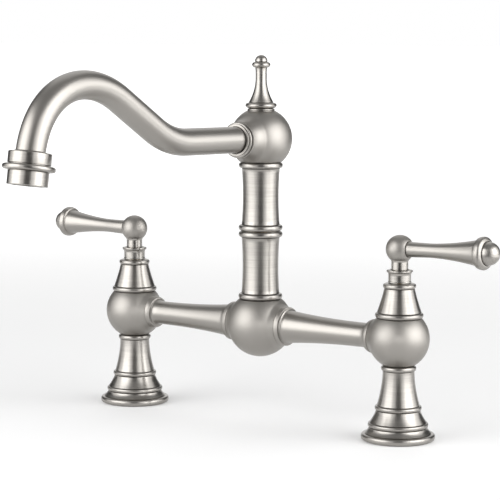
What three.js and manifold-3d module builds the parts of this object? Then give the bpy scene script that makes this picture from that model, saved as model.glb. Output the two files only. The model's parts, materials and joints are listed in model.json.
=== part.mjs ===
// Bridge kitchen faucet in brushed nickel, with two quarter-turn lever valves joined by a raised
// bridge and a swivelling spout on a turned column. Millimetres, +Z up. The origin is on the deck,
// midway between the two posts and under the column. +X points to the cold post and the spout
// points to -Y, towards the person at the sink.

import * as THREE from 'three';
import * as BufferGeometryUtils from 'three/addons/utils/BufferGeometryUtils.js';
import Module from 'manifold-3d';

const wasm = await Module();
wasm.setup();

// ---------------------------------------------------------------- driving dimensions

// Whole faucet
const POST_SPACING = 203.2;
const BRIDGE_HEIGHT = 60.3;

// Clearances
const SEAT_GAP = 0.3;
const RUNNING_GAP = 0.4;
const SWIVEL_PARTING = 0.4;
const SEAL_GAP = 0.25;

// Turned detail that every ring and crease shares
const RING_RELIEF = 0.6;
const CREASE = 0.1;
const RING_BEVEL_SHARE = 0.25;

// How far a cutting tool runs past the surface that it opens
const CUT_MARGIN = 1.0;

// Pedestal
const PEDESTAL_FOOT_RADIUS = 20.4;
const PEDESTAL_RIM_RADIUS = 21.95;
const PEDESTAL_RIM_HEIGHT = 4.3;
const PEDESTAL_RIM_EDGE_LOW = 1.3;
const PEDESTAL_RIM_EDGE_HIGH = 2.8;
const PEDESTAL_COVE_HEIGHT = 3.4;
const PEDESTAL_COVE_CURVE = 1.6;
const PEDESTAL_LOWER_RING_RADIUS = 17.9;
const PEDESTAL_LOWER_RING_WIDTH = 2.6;
const PEDESTAL_BELL_HEIGHT = 7.6;
const PEDESTAL_BELL_CURVE = 1.3;
const PEDESTAL_MIDDLE_RING_RADIUS = 13.9;
const PEDESTAL_MIDDLE_RING_WIDTH = 2.6;
const PEDESTAL_WAIST_RADIUS = 9.4;
const PEDESTAL_WAIST_CURVE = 1.8;
const PEDESTAL_TOP_RING_RADIUS = 10.4;
const PEDESTAL_TOP_RING_WIDTH = 3.0;
const PEDESTAL_WALL = 2.4;
const GASKET_RECESS_RADIUS = 18.0;
const GASKET_RECESS_DEPTH = 1.6;
const GASKET_BORE_RADIUS = 13.0;

// Inlet shank
const SHANK_END_HEIGHT = 12.0;
const SHANK_FLANGE_RADIUS = 9.2;
const SHANK_FLANGE_LENGTH = 10.0;
const SHANK_TUBE_RADIUS = 6.9;
const SHANK_BORE_RADIUS = 4.5;
const SHANK_SOCKET_DEPTH = 7.0;
const SHANK_CHAMFER = 0.5;

// Valve body
const BODY_RADIUS = 18.16;
const BODY_FOOT_RADIUS = 9.3;
const BODY_SHOULDER_RADIUS = 13.4;
const BODY_NECK_WALL = 1.5;
const BODY_NECK_LENGTH = 7.1;
const BODY_BOSS_RADIUS = 10.4;
const BODY_BOSS_END_RADIUS = 9.5;
const BODY_BOSS_STEP = 5.0;
const BODY_PORT_RADIUS = 4.0;
const BODY_WEB = 1.6;
const BOSS_BEVEL = 0.6;
const BOSS_ROOT = 2.0;

// Ceramic cartridge
const CARTRIDGE_RADIUS = 7.2;
const CARTRIDGE_WALL = 1.3;
const CARTRIDGE_FLANGE_STEP = 1.0;
const CARTRIDGE_FLANGE_HEIGHT = 3.0;
const CARTRIDGE_SLEEVE_RADIUS = 4.95;
const CARTRIDGE_SLEEVE_WALL = 1.05;
const CARTRIDGE_SLEEVE_LENGTH = 13.7;
const CARTRIDGE_WINDOW_HEIGHT = 5.0;
const CARTRIDGE_WINDOW_WIDTH = 5.0;
const CARTRIDGE_SEAL_BORE_RADIUS = 3.2;
const CARTRIDGE_SEAL_HEIGHT = 2.4;
const DISC_THICKNESS = 2.8;
const DISC_PORT_RADIUS = 1.4;
const DISC_PORT_OFFSET = 3.0;
const STEM_CARRIER_LENGTH = 4.4;
const STEM_CARRIER_HEADROOM = 0.6;
const STEM_SEAL_GROOVE_DEPTH = 1.0;
const STEM_SEAL_HEIGHT = 1.6;
const STEM_SEAL_DROP = 5.0;

// Bonnet and bonnet nut
const BONNET_RING_RADIUS = 14.26;
const BONNET_RING_WIDTH = 3.0;
const BONNET_BASE_RADIUS = 13.0;
const BONNET_NECK_RADIUS = 9.1;
const BONNET_HEIGHT = 20.7;
const BONNET_CURVE = 1.2;
const BONNET_TOP_RING_RADIUS = 9.75;
const BONNET_TOP_RING_WIDTH = 2.6;
const BONNET_CAP_RISE = 0.4;
const BONNET_WALL = 1.8;
const BONNET_NUT_RADIUS = 6.74;
const BONNET_NUT_LIP_RADIUS = 7.45;
const BONNET_NUT_HEIGHT = 7.6;
const BONNET_NUT_LIP_HEIGHT = 2.0;
const BONNET_NUT_LIP_BEVEL = 0.5;

// Handle
const HUB_RADIUS = 8.34;
const HUB_RISE = 12.0;
const HUB_NECK_RADIUS = 5.0;
const HUB_NECK_FILLET = 0.8;
const HUB_ENGAGEMENT = 3.7;
const HUB_ROOF = 9.2;
const HUB_SEAT_DEPTH = 1.3;
const HANDLE_SCREW_DROP = 3.5;
const HANDLE_SCREW_RECESS = 0.9;
const LEVER_TILT = THREE.MathUtils.degToRad(1.2);
const LEVER_ROOT_RADIUS = 4.5;
const LEVER_WAIST_RADIUS = 4.2;
const LEVER_WAIST_REACH = 20.0;
const LEVER_FLARE_RADIUS = 7.9;
const LEVER_FLARE_CURVE = 1.7;
const LEVER_LENGTH = 53.6;
const LEVER_RIM_RADIUS = 9.65;
const LEVER_RIM_WIDTH = 5.4;
const LEVER_SPIGOT_RADIUS = 2.4;
const LEVER_SPIGOT_LENGTH = 1.9;
const KNOB_RADIUS = 6.9;
const KNOB_ROOT_LENGTH = 0.6;
const KNOB_DOME_HEIGHT = 6.4;
const KNOB_SPIGOT_RADIUS = 2.5;
const KNOB_SPIGOT_LENGTH = 5.0;
const GRUB_SCREW_RADIUS = 1.5;
const GRUB_SCREW_POINT = 0.5;
const GRUB_SOCKET_RADIUS = 0.8;
const GRUB_SOCKET_DEPTH = 1.3;

// Bridge
const TEE_RADIUS = 20.3;
const TEE_SEAT_RADIUS = 13.4;
const TEE_BOSS_RADIUS = 12.0;
const TEE_BOSS_STEP = 5.1;
const TEE_PASSAGE_RADIUS = 4.5;
const ARM_COLLAR_RADIUS = 11.1;
const ARM_COLLAR_WIDTH = 0.9;
const ARM_TEE_RADIUS = 10.1;
const ARM_CURVE = 2.4;
const ARM_POST_RADIUS = 7.3;
const ARM_TEE_SPIGOT_RADIUS = 6.6;
const ARM_TEE_SPIGOT_LENGTH = 8.6;
const ARM_POST_SPIGOT_RADIUS = 5.0;
const ARM_POST_SPIGOT_LENGTH = 7.6;
const ARM_BORE_RADIUS = 2.8;
const ARM_SEAL_SECTION = 1.0;
const ARM_SEAL_SETBACK = 4.0;

// Column
const RISER_HEIGHT = 42.05;
const RISER_RING_RADIUS = 13.55;
const RISER_RING_WIDTH = 3.3;
const RISER_LIP_STEP = 1.0;
const RISER_LIP_HEIGHT = 0.25;
const RISER_SHANK_RADIUS = 11.7;
const RISER_WAIST_RADIUS = 11.05;

// Swivel
const NIPPLE_RADIUS = 7.0;
const NIPPLE_BORE_RADIUS = 4.7;
const NIPPLE_TEE_DEPTH = 11.7;
const NIPPLE_SHOULDER_STEP = 2.5;
const NIPPLE_SHOULDER_LENGTH = 5.0;
const NIPPLE_HEADROOM = 4.8;
const SWIVEL_WATER_GAP = 1.5;
const SLIP_WASHER_RADIUS = 11.0;
const SLIP_WASHER_THICKNESS = 1.2;
const SWIVEL_SEAL_GROOVE_DEPTH = 1.1;
const SWIVEL_LOWER_SEAL_SHARE = 0.6;
const SWIVEL_UPPER_SEAL_SHARE = 0.82;
const RETAINING_GROOVE_SHARE = 0.33;
const RETAINING_GROOVE_WIDTH = 4.0;
const RETAINING_GROOVE_DEPTH = 0.9;
const SWIVEL_SCREW_ENTRY = 0.3;
const SWIVEL_SCREW_LENGTH = 4.0;

// Spout head
const HEAD_RADIUS = 19.2;
const HEAD_SEAT_RADIUS = 13.1;
const HEAD_CROWN_RADIUS = 8.8;
const HEAD_SPIGOT_LENGTH = 6.0;
const HEAD_PASSAGE_RADIUS = 6.0;
const HEAD_SOCKET_DEPTH = 12.0;
const HEAD_BOSS_RADIUS = 11.1;
const HEAD_BOSS_REACH = 22.4;
const HEAD_BOSS_ROOT_RADIUS = 13.9;
const HEAD_BOSS_CURVE = 2.2;

// Finial
const FINIAL_STEP_RADIUS = 8.97;
const FINIAL_STEP_HEIGHT = 1.5;
const FINIAL_BASE_RADIUS = 9.6;
const FINIAL_BASE_WIDTH = 2.6;
const FINIAL_BELL_RADIUS = 8.2;
const FINIAL_BELL_HEIGHT = 15.0;
const FINIAL_BELL_CURVE = 1.9;
const FINIAL_STEM_RADIUS = 3.43;
const FINIAL_STEM_HEIGHT = 7.0;
const FINIAL_STEM_FLARE = 0.4;
const FINIAL_RING_RADIUS = 5.65;
const FINIAL_RING_WIDTH = 3.0;
const FINIAL_BUTTON_RADIUS = 3.85;
const FINIAL_BUTTON_HEIGHT = 4.6;
const FINIAL_SPIGOT_RADIUS = 4.0;
const FINIAL_SPIGOT_LENGTH = 5.0;

// Spout
const SPOUT_TUBE_RADIUS = 8.05;
const SPOUT_WALL = 1.6;
const SPOUT_SOCKET_GAP = 0.4;
const SPOUT_COLLAR_WALL = 2.4;
const SPOUT_COLLAR_GROOVE = 0.5;
const SPOUT_COLLAR_STEP_LENGTH = 0.8;
const SPOUT_COLLAR_LENGTH = 3.3;
const SPOUT_COLLAR_NOSE = 0.9;
const SPOUT_STEPS = 32;
const SPOUT_QUARTER_SEGMENTS = 6;
const SPOUT_CORNER_REACH = 89.4;
const SPOUT_CORNER_RISE = 1.1;
const SPOUT_BEND_TANGENT = 16.0;
const SPOUT_SLOPE = THREE.MathUtils.degToRad(30.7);
const SPOUT_SLOPE_LENGTH = 51.0;
const SPOUT_ARCH_LIFT = 35.2;
const SPOUT_TIP_ADVANCE = 116.3;
const SPOUT_TIP_DROP = 2.1;
const SPOUT_TIP_RUN = 36.9;
const SPOUT_TIP_TILT = THREE.MathUtils.degToRad(9.0);

// Aerator
const AERATOR_COLLAR_WALL = 3.3;
const AERATOR_COLLAR_HEIGHT = 6.4;
const AERATOR_COLLAR_OVERLAP = 3.5;
const AERATOR_COLLAR_EDGE = 0.9;
const AERATOR_FLANGE_STEP = 3.25;
const AERATOR_FLANGE_HEIGHT = 3.4;
const AERATOR_SKIRT_RADIUS = 11.1;
const AERATOR_SKIRT_HEIGHT = 8.3;
const AERATOR_SKIRT_EDGE = 0.4;
const AERATOR_WALL = 1.6;
const AERATOR_LEDGE_WIDTH = 1.2;
const AERATOR_LEDGE_HEIGHT = 1.2;
const AERATOR_GASKET_HEIGHT = 1.5;
const AERATOR_GASKET_BORE_RADIUS = 6.0;
const AERATOR_SCREEN_THICKNESS = 0.8;
const INSERT_HOLE_RADIUS = 1.7;
const SCREEN_HOLE_RADIUS = 1.1;
const HOLE_RING_SHARE = 0.58;
const HOLE_COUNT = 6;

// Roundness of the turned pieces, in sides
const LARGE_SIDES = 18;
const MEDIUM_SIDES = 14;
const SMALL_SIDES = 10;
const FINE_SIDES = 8;

// ---------------------------------------------------------------- finishes

const satinNickel = () => new THREE.MeshStandardMaterial({ color: 0x9a958e, roughness: 0.32, metalness: 1.0 });
const rawBrass = () => new THREE.MeshStandardMaterial({ color: 0xb08d4f, roughness: 0.4, metalness: 1.0 });
const blackRubber = () => new THREE.MeshStandardMaterial({ color: 0x1c1c1c, roughness: 0.85, metalness: 0.0 });
const whiteCeramic = () => new THREE.MeshStandardMaterial({ color: 0xe6e2da, roughness: 0.25, metalness: 0.0 });
const whiteAcetal = () => new THREE.MeshStandardMaterial({ color: 0xd9d9d6, roughness: 0.5, metalness: 0.0 });
const steel = () => new THREE.MeshStandardMaterial({ color: 0x8b8d90, roughness: 0.35, metalness: 1.0 });

// ---------------------------------------------------------------- shape helpers

// Height above the centre at which a ball has the given radius.
function ballRise(ballRadius, radius) {
  return Math.sqrt(ballRadius * ballRadius - radius * radius);
}

// Points [radius, height] of a bevelled ring that stands out of a turned surface.
function ring(rootRadius, radius, bottom, width) {
  const bevel = width * RING_BEVEL_SHARE;
  return [
    [rootRadius, bottom],
    [radius, bottom + bevel],
    [radius, bottom + width - bevel],
    [rootRadius, bottom + width],
  ];
}

// Points of a hollow curve that runs from one radius and height to another, steepest at its start.
function cove(from, to, power, steps) {
  const points = [];
  for (let i = 0; i <= steps; i += 1) {
    const t = i / steps;
    const radius = to[0] + (from[0] - to[0]) * Math.pow(1 - t, power);
    points.push([radius, THREE.MathUtils.lerp(from[1], to[1], t)]);
  }
  return points;
}

// Points of a ball's outline between two heights above its centre.
function ballArc(radius, centreHeight, fromRise, toRise, steps) {
  const start = Math.asin(fromRise / radius);
  const end = Math.asin(toRise / radius);
  const points = [];
  for (let i = 0; i <= steps; i += 1) {
    const angle = THREE.MathUtils.lerp(start, end, i / steps);
    points.push([radius * Math.cos(angle), centreHeight + radius * Math.sin(angle)]);
  }
  return points;
}

// Points of a dome's outline, from its widest level up to its top on the axis.
function quarterDome(radius, bottom, height) {
  const steps = 3;
  const points = [];
  for (let i = 0; i < steps; i += 1) {
    const angle = ((i / steps) * Math.PI) / 2;
    points.push([radius * Math.cos(angle), bottom + height * Math.sin(angle)]);
  }
  points.push([0, bottom + height]);
  return points;
}

// A turned piece about +Z. The outline goes up the outside and down the inside, and it is closed
// here unless it starts and ends on the axis.
function turned(outline, sides) {
  const points = outline.map(([radius, height]) => new THREE.Vector2(radius, height));
  const solid = outline[0][0] === 0 && outline[outline.length - 1][0] === 0;
  if (!solid) points.push(points[0].clone());
  return new THREE.LatheGeometry(points, sides).rotateX(Math.PI / 2);
}

// A plain tube or ring about +Z.
function tube(outerRadius, innerRadius, bottom, top, sides) {
  const outline = [
    [outerRadius, bottom],
    [outerRadius, top],
    [innerRadius, top],
    [innerRadius, bottom],
  ];
  return turned(outline, sides);
}

// A plain round bar about +Z.
function bar(radius, bottom, top, sides) {
  const outline = [
    [0, bottom],
    [radius, bottom],
    [radius, top],
    [0, top],
  ];
  return turned(outline, sides);
}

// A rubber ring of round section that fits between a groove and a bore.
function sealRing(innerRadius, section, centreHeight, sides) {
  const middle = innerRadius + section / 2;
  const outline = [];
  for (let i = 0; i < 6; i += 1) {
    const angle = -Math.PI / 2 + (i * Math.PI) / 3;
    outline.push([
      middle + (section / 2) * Math.cos(angle),
      centreHeight + (section / 2) * Math.sin(angle),
    ]);
  }
  return turned(outline, sides);
}

// Lays a piece that was turned about +Z along the X axis, with its top towards side * X.
function alongX(geometry, side) {
  return geometry.rotateY((side * Math.PI) / 2);
}

// Lays a piece that was turned about +Z along the Y axis, with its top towards direction * Y.
function alongY(geometry, direction) {
  return geometry.rotateX((-direction * Math.PI) / 2);
}

function toSolid(geometry) {
  const bare = geometry.clone();
  bare.deleteAttribute('normal');
  bare.deleteAttribute('uv');
  const merged = BufferGeometryUtils.mergeVertices(bare, 1e-4);
  const index = merged.index.array;
  const kept = [];
  for (let i = 0; i < index.length; i += 3) {
    const [a, b, c] = [index[i], index[i + 1], index[i + 2]];
    if (a !== b && b !== c && c !== a) kept.push(a, b, c);
  }
  return new wasm.Manifold(new wasm.Mesh({
    numProp: 3,
    vertProperties: new Float32Array(merged.attributes.position.array),
    triVerts: new Uint32Array(kept),
  }));
}

function toGeometry(solid) {
  const mesh = solid.getMesh();
  const geometry = new THREE.BufferGeometry();
  geometry.setAttribute('position', new THREE.BufferAttribute(mesh.vertProperties, 3));
  geometry.setIndex(new THREE.BufferAttribute(mesh.triVerts, 1));
  geometry.computeVertexNormals();
  return geometry;
}

// Joins geometries to the first one, then cuts the others out of it.
function carve(base, added, removed) {
  let solid = toSolid(base);
  for (const geometry of added) solid = solid.add(toSolid(geometry));
  for (const geometry of removed) solid = solid.subtract(toSolid(geometry));
  return toGeometry(solid);
}

function piece(name, geometry, material, parent, position = [0, 0, 0]) {
  const mesh = new THREE.Mesh(geometry, material);
  mesh.name = name;
  mesh.position.set(...position);
  parent.add(mesh);
  return mesh;
}

// ---------------------------------------------------------------- fits and levels, from the deck up

const pedestalTop = BRIDGE_HEIGHT - ballRise(BODY_RADIUS, BODY_FOOT_RADIUS) - SEAT_GAP;
const bodyFoot = pedestalTop + SEAT_GAP;
const bodyShoulder = BRIDGE_HEIGHT + ballRise(BODY_RADIUS, BODY_SHOULDER_RADIUS);
const bodyNeckTop = bodyShoulder + BODY_NECK_LENGTH;
const bodyBossReach = ballRise(BODY_RADIUS, BODY_BOSS_RADIUS) + BODY_BOSS_STEP;
const shankSocketTop = bodyFoot + SHANK_SOCKET_DEPTH;
const chamberFloor = shankSocketTop + BODY_WEB;
const chamberRadius = CARTRIDGE_RADIUS + SEAT_GAP;
const bonnetBottom = bodyShoulder + SEAT_GAP;
const bonnetTop = bonnetBottom + BONNET_HEIGHT;
const bonnetNutBottom = bonnetTop + SEAT_GAP;
const bonnetNutTop = bonnetNutBottom + BONNET_NUT_HEIGHT;
const bonnetNutBore = Math.max(HUB_NECK_RADIUS, CARTRIDGE_SLEEVE_RADIUS) + RUNNING_GAP;

const cartridgeBore = CARTRIDGE_RADIUS - CARTRIDGE_WALL;
const sleeveBore = CARTRIDGE_SLEEVE_RADIUS - CARTRIDGE_SLEEVE_WALL;
const discRadius = cartridgeBore - RUNNING_GAP;
const stemRadius = sleeveBore - RUNNING_GAP;
const flangeBottom = bodyNeckTop + SEAT_GAP;
const flangeTop = flangeBottom + CARTRIDGE_FLANGE_HEIGHT;
const sleeveTop = flangeTop + CARTRIDGE_SLEEVE_LENGTH;
const sealBottom = chamberFloor + SEAT_GAP;
const cartridgeBottom = sealBottom + CARTRIDGE_SEAL_HEIGHT + SEAT_GAP;
const fixedDiscBottom = cartridgeBottom + SEAT_GAP;
const movingDiscBottom = fixedDiscBottom + DISC_THICKNESS + SEAT_GAP;
const carrierBottom = movingDiscBottom + DISC_THICKNESS + SEAT_GAP;
const carrierTop = carrierBottom + STEM_CARRIER_LENGTH;
const discSpaceTop = carrierTop + STEM_CARRIER_HEADROOM;
const stemSealLevel = sleeveTop - STEM_SEAL_DROP;

const hubCentre = bonnetNutTop + HUB_RISE;
const hubBottom = bonnetNutTop - HUB_ENGAGEMENT;
const hubBoreTop = hubCentre + HUB_RADIUS - HUB_ROOF;
const stemTop = hubBoreTop - SEAT_GAP;
const leverSeatRadius = LEVER_ROOT_RADIUS + SEAT_GAP;
const leverSeat = ballRise(HUB_RADIUS, leverSeatRadius) - HUB_SEAT_DEPTH;
const leverRoot = leverSeat + SEAT_GAP;
const handleScrewLevel = hubCentre - HANDLE_SCREW_DROP;
const handleScrewStart = stemRadius + SEAT_GAP;
const handleScrewEnd = ballRise(HUB_RADIUS, HANDLE_SCREW_DROP) - HANDLE_SCREW_RECESS;

const teeTop = BRIDGE_HEIGHT + ballRise(TEE_RADIUS, TEE_SEAT_RADIUS);
const teeBossReach = ballRise(TEE_RADIUS, TEE_BOSS_RADIUS) + TEE_BOSS_STEP;
const armStart = teeBossReach + SEAT_GAP;
const armEnd = POST_SPACING / 2 - bodyBossReach - SEAT_GAP;
const armTeeSealReach = armStart - ARM_TEE_SPIGOT_LENGTH + ARM_SEAL_SETBACK;
const armPostSealReach = armEnd + ARM_POST_SPIGOT_LENGTH - ARM_SEAL_SETBACK;

const lowerRiserBottom = teeTop + SEAT_GAP;
const lowerRiserTop = lowerRiserBottom + RISER_HEIGHT;
const upperRiserBottom = lowerRiserTop + SWIVEL_PARTING;
const upperRiserTop = upperRiserBottom + RISER_HEIGHT;
const headFoot = upperRiserTop + SEAT_GAP;
const headCentre = headFoot + ballRise(HEAD_RADIUS, HEAD_SEAT_RADIUS);
const headCrown = headCentre + ballRise(HEAD_RADIUS, HEAD_CROWN_RADIUS);

const nippleBottom = teeTop - NIPPLE_TEE_DEPTH;
const nippleTop = headFoot - HEAD_SPIGOT_LENGTH - NIPPLE_HEADROOM;
const nippleShoulderRadius = NIPPLE_RADIUS + NIPPLE_SHOULDER_STEP;
const swivelBore = NIPPLE_RADIUS + SWIVEL_WATER_GAP;
const washerBottom = lowerRiserTop + SEAT_GAP;
const washerTop = washerBottom + SLIP_WASHER_THICKNESS;
const retainingLevel = THREE.MathUtils.lerp(lowerRiserTop, nippleTop, RETAINING_GROOVE_SHARE);
const lowerSealLevel = THREE.MathUtils.lerp(lowerRiserTop, nippleTop, SWIVEL_LOWER_SEAL_SHARE);
const upperSealLevel = THREE.MathUtils.lerp(lowerRiserTop, nippleTop, SWIVEL_UPPER_SEAL_SHARE);
const swivelGrooveRadius = NIPPLE_RADIUS - SWIVEL_SEAL_GROOVE_DEPTH;
const swivelSealInner = swivelGrooveRadius + SEAL_GAP;
const swivelSealSection = swivelBore - RUNNING_GAP - swivelSealInner;
const swivelScrewStart = NIPPLE_RADIUS - SWIVEL_SCREW_ENTRY;

const spoutSocketRadius = SPOUT_TUBE_RADIUS + SPOUT_SOCKET_GAP;
const spoutCollarRadius = spoutSocketRadius + SPOUT_COLLAR_WALL;
const collarStart = HEAD_BOSS_REACH + SEAT_GAP;
const collarEnd = collarStart + SPOUT_COLLAR_LENGTH;
const spoutSocketFloor = HEAD_BOSS_REACH - HEAD_SOCKET_DEPTH;
const spoutTipReach = SPOUT_CORNER_REACH + SPOUT_TIP_ADVANCE;
const spoutTipLevel = headCentre - SPOUT_TIP_DROP;

// ---------------------------------------------------------------- pedestal and supply

const shankFlangeTop = SHANK_END_HEIGHT + SHANK_FLANGE_LENGTH;
const lowerRingBottom = PEDESTAL_RIM_HEIGHT + PEDESTAL_COVE_HEIGHT;
const lowerRingTop = lowerRingBottom + PEDESTAL_LOWER_RING_WIDTH;
const middleRingBottom = lowerRingTop + PEDESTAL_BELL_HEIGHT;
const middleRingTop = middleRingBottom + PEDESTAL_MIDDLE_RING_WIDTH;
const topRingBottom = pedestalTop - PEDESTAL_TOP_RING_WIDTH;

function pedestalGeometry() {
  const lowerRoot = PEDESTAL_LOWER_RING_RADIUS - RING_RELIEF;
  const middleRoot = PEDESTAL_MIDDLE_RING_RADIUS - RING_RELIEF;
  const topRoot = PEDESTAL_TOP_RING_RADIUS - RING_RELIEF;
  const outside = [
    [PEDESTAL_FOOT_RADIUS, 0],
    [PEDESTAL_RIM_RADIUS, PEDESTAL_RIM_EDGE_LOW],
    [PEDESTAL_RIM_RADIUS, PEDESTAL_RIM_EDGE_HIGH],
    [PEDESTAL_FOOT_RADIUS, PEDESTAL_RIM_HEIGHT],
    ...cove(
      [PEDESTAL_FOOT_RADIUS - RING_RELIEF, PEDESTAL_RIM_HEIGHT + CREASE],
      [lowerRoot, lowerRingBottom - CREASE],
      PEDESTAL_COVE_CURVE,
      2,
    ),
    ...ring(lowerRoot, PEDESTAL_LOWER_RING_RADIUS, lowerRingBottom, PEDESTAL_LOWER_RING_WIDTH),
    ...cove(
      [lowerRoot - RING_RELIEF, lowerRingTop + CREASE],
      [middleRoot, middleRingBottom - CREASE],
      PEDESTAL_BELL_CURVE,
      2,
    ),
    ...ring(middleRoot, PEDESTAL_MIDDLE_RING_RADIUS, middleRingBottom, PEDESTAL_MIDDLE_RING_WIDTH),
    ...cove(
      [middleRoot - RING_RELIEF, middleRingTop + CREASE],
      [PEDESTAL_WAIST_RADIUS, topRingBottom - CREASE],
      PEDESTAL_WAIST_CURVE,
      4,
    ),
    ...ring(topRoot, PEDESTAL_TOP_RING_RADIUS, topRingBottom, PEDESTAL_TOP_RING_WIDTH),
  ];
  const shankBore = SHANK_TUBE_RADIUS + SEAT_GAP;
  const flangeBore = SHANK_FLANGE_RADIUS + SEAT_GAP;
  const inside = [
    [shankBore, pedestalTop],
    [shankBore, shankFlangeTop + SEAT_GAP],
    [flangeBore, shankFlangeTop + SEAT_GAP],
    [Math.max(flangeBore, middleRoot - PEDESTAL_WALL), middleRingBottom],
    [lowerRoot - PEDESTAL_WALL, lowerRingBottom],
    [lowerRoot - PEDESTAL_WALL, GASKET_RECESS_DEPTH],
    [GASKET_RECESS_RADIUS, GASKET_RECESS_DEPTH],
    [GASKET_RECESS_RADIUS, 0],
  ];
  return turned([...outside, ...inside], LARGE_SIDES);
}

function deckGasketGeometry() {
  const outer = GASKET_RECESS_RADIUS - SEAT_GAP;
  return tube(outer, GASKET_BORE_RADIUS, 0, GASKET_RECESS_DEPTH - SEAT_GAP, MEDIUM_SIDES);
}

function inletShankGeometry() {
  const top = shankSocketTop - SEAT_GAP;
  const outline = [
    [SHANK_FLANGE_RADIUS - SHANK_CHAMFER, SHANK_END_HEIGHT],
    [SHANK_FLANGE_RADIUS, SHANK_END_HEIGHT + SHANK_CHAMFER],
    [SHANK_FLANGE_RADIUS, shankFlangeTop],
    [SHANK_TUBE_RADIUS, shankFlangeTop],
    [SHANK_TUBE_RADIUS, top],
    [SHANK_BORE_RADIUS, top],
    [SHANK_BORE_RADIUS, SHANK_END_HEIGHT],
  ];
  return turned(outline, SMALL_SIDES);
}

// ---------------------------------------------------------------- valve

function valveBodyGeometry(side) {
  const rise = bodyShoulder - BRIDGE_HEIGHT;
  const fall = BRIDGE_HEIGHT - bodyFoot;
  const neckRadius = chamberRadius + BODY_NECK_WALL;
  const socketRadius = SHANK_TUBE_RADIUS + SEAT_GAP;
  const body = turned([
    ...ballArc(BODY_RADIUS, BRIDGE_HEIGHT, -fall, rise, 7),
    [neckRadius, bodyShoulder],
    [neckRadius, bodyNeckTop],
    [chamberRadius, bodyNeckTop],
    [chamberRadius, chamberFloor],
    [BODY_PORT_RADIUS, chamberFloor],
    [BODY_PORT_RADIUS, shankSocketTop],
    [socketRadius, shankSocketTop],
    [socketRadius, bodyFoot],
  ], LARGE_SIDES);
  const bossRoot = ballRise(BODY_RADIUS, BODY_BOSS_RADIUS) - BOSS_ROOT;
  const boss = turned([
    [0, bossRoot],
    [BODY_BOSS_RADIUS, bossRoot],
    [BODY_BOSS_END_RADIUS, bodyBossReach - BOSS_BEVEL],
    [BODY_BOSS_END_RADIUS - BOSS_BEVEL, bodyBossReach],
    [0, bodyBossReach],
  ], MEDIUM_SIDES);
  const socketBottom = bodyBossReach - ARM_POST_SPIGOT_LENGTH;
  const socketEnd = bodyBossReach + CUT_MARGIN;
  const armSocket = bar(ARM_POST_SPIGOT_RADIUS + SEAT_GAP, socketBottom, socketEnd, MEDIUM_SIDES);
  const port = bar(ARM_BORE_RADIUS, chamberRadius - CUT_MARGIN, bodyBossReach, SMALL_SIDES);
  const lift = (geometry) => alongX(geometry, -side).translate(0, 0, BRIDGE_HEIGHT);
  return carve(body, [lift(boss)], [lift(armSocket), lift(port)]);
}

function cartridgeSealGeometry() {
  const top = sealBottom + CARTRIDGE_SEAL_HEIGHT;
  return tube(CARTRIDGE_RADIUS - SEAT_GAP, CARTRIDGE_SEAL_BORE_RADIUS, sealBottom, top, SMALL_SIDES);
}

function cartridgeBodyGeometry() {
  const flangeRadius = CARTRIDGE_RADIUS + CARTRIDGE_FLANGE_STEP;
  const shell = turned([
    [CARTRIDGE_RADIUS, cartridgeBottom],
    [CARTRIDGE_RADIUS, flangeBottom],
    [flangeRadius, flangeBottom],
    [flangeRadius, flangeTop],
    [CARTRIDGE_SLEEVE_RADIUS, flangeTop],
    [CARTRIDGE_SLEEVE_RADIUS, sleeveTop],
    [sleeveBore, sleeveTop],
    [sleeveBore, discSpaceTop],
    [cartridgeBore, discSpaceTop],
    [cartridgeBore, cartridgeBottom],
  ], SMALL_SIDES);
  const reach = 4 * CARTRIDGE_RADIUS;
  const windows = new THREE.BoxGeometry(reach, CARTRIDGE_WINDOW_WIDTH, CARTRIDGE_WINDOW_HEIGHT);
  windows.translate(0, 0, carrierBottom);
  return carve(shell, [], [windows]);
}

// A ceramic disc with two ports that a quarter turn opens and closes.
function discGeometry(bottom) {
  const top = bottom + DISC_THICKNESS;
  const ports = [-1, 1].map((side) => {
    const port = bar(DISC_PORT_RADIUS, bottom - CUT_MARGIN, top + CUT_MARGIN, FINE_SIDES);
    return port.translate(side * DISC_PORT_OFFSET, 0, 0);
  });
  return carve(bar(discRadius, bottom, top, SMALL_SIDES), [], ports);
}

function stemGeometry() {
  const grooveHalf = STEM_SEAL_HEIGHT / 2 + SEAL_GAP;
  const grooveRadius = stemRadius - STEM_SEAL_GROOVE_DEPTH;
  const outline = [
    [0, carrierBottom],
    [discRadius, carrierBottom],
    [discRadius, carrierTop],
    [stemRadius, carrierTop],
    [stemRadius, stemSealLevel - grooveHalf],
    [grooveRadius, stemSealLevel - grooveHalf],
    [grooveRadius, stemSealLevel + grooveHalf],
    [stemRadius, stemSealLevel + grooveHalf],
    [stemRadius, stemTop],
    [0, stemTop],
  ];
  return turned(outline, SMALL_SIDES);
}

function stemSealGeometry() {
  const inner = stemRadius - STEM_SEAL_GROOVE_DEPTH + SEAL_GAP;
  const outer = sleeveBore - SEAL_GAP;
  const half = STEM_SEAL_HEIGHT / 2;
  return tube(outer, inner, stemSealLevel - half, stemSealLevel + half, SMALL_SIDES);
}

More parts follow.
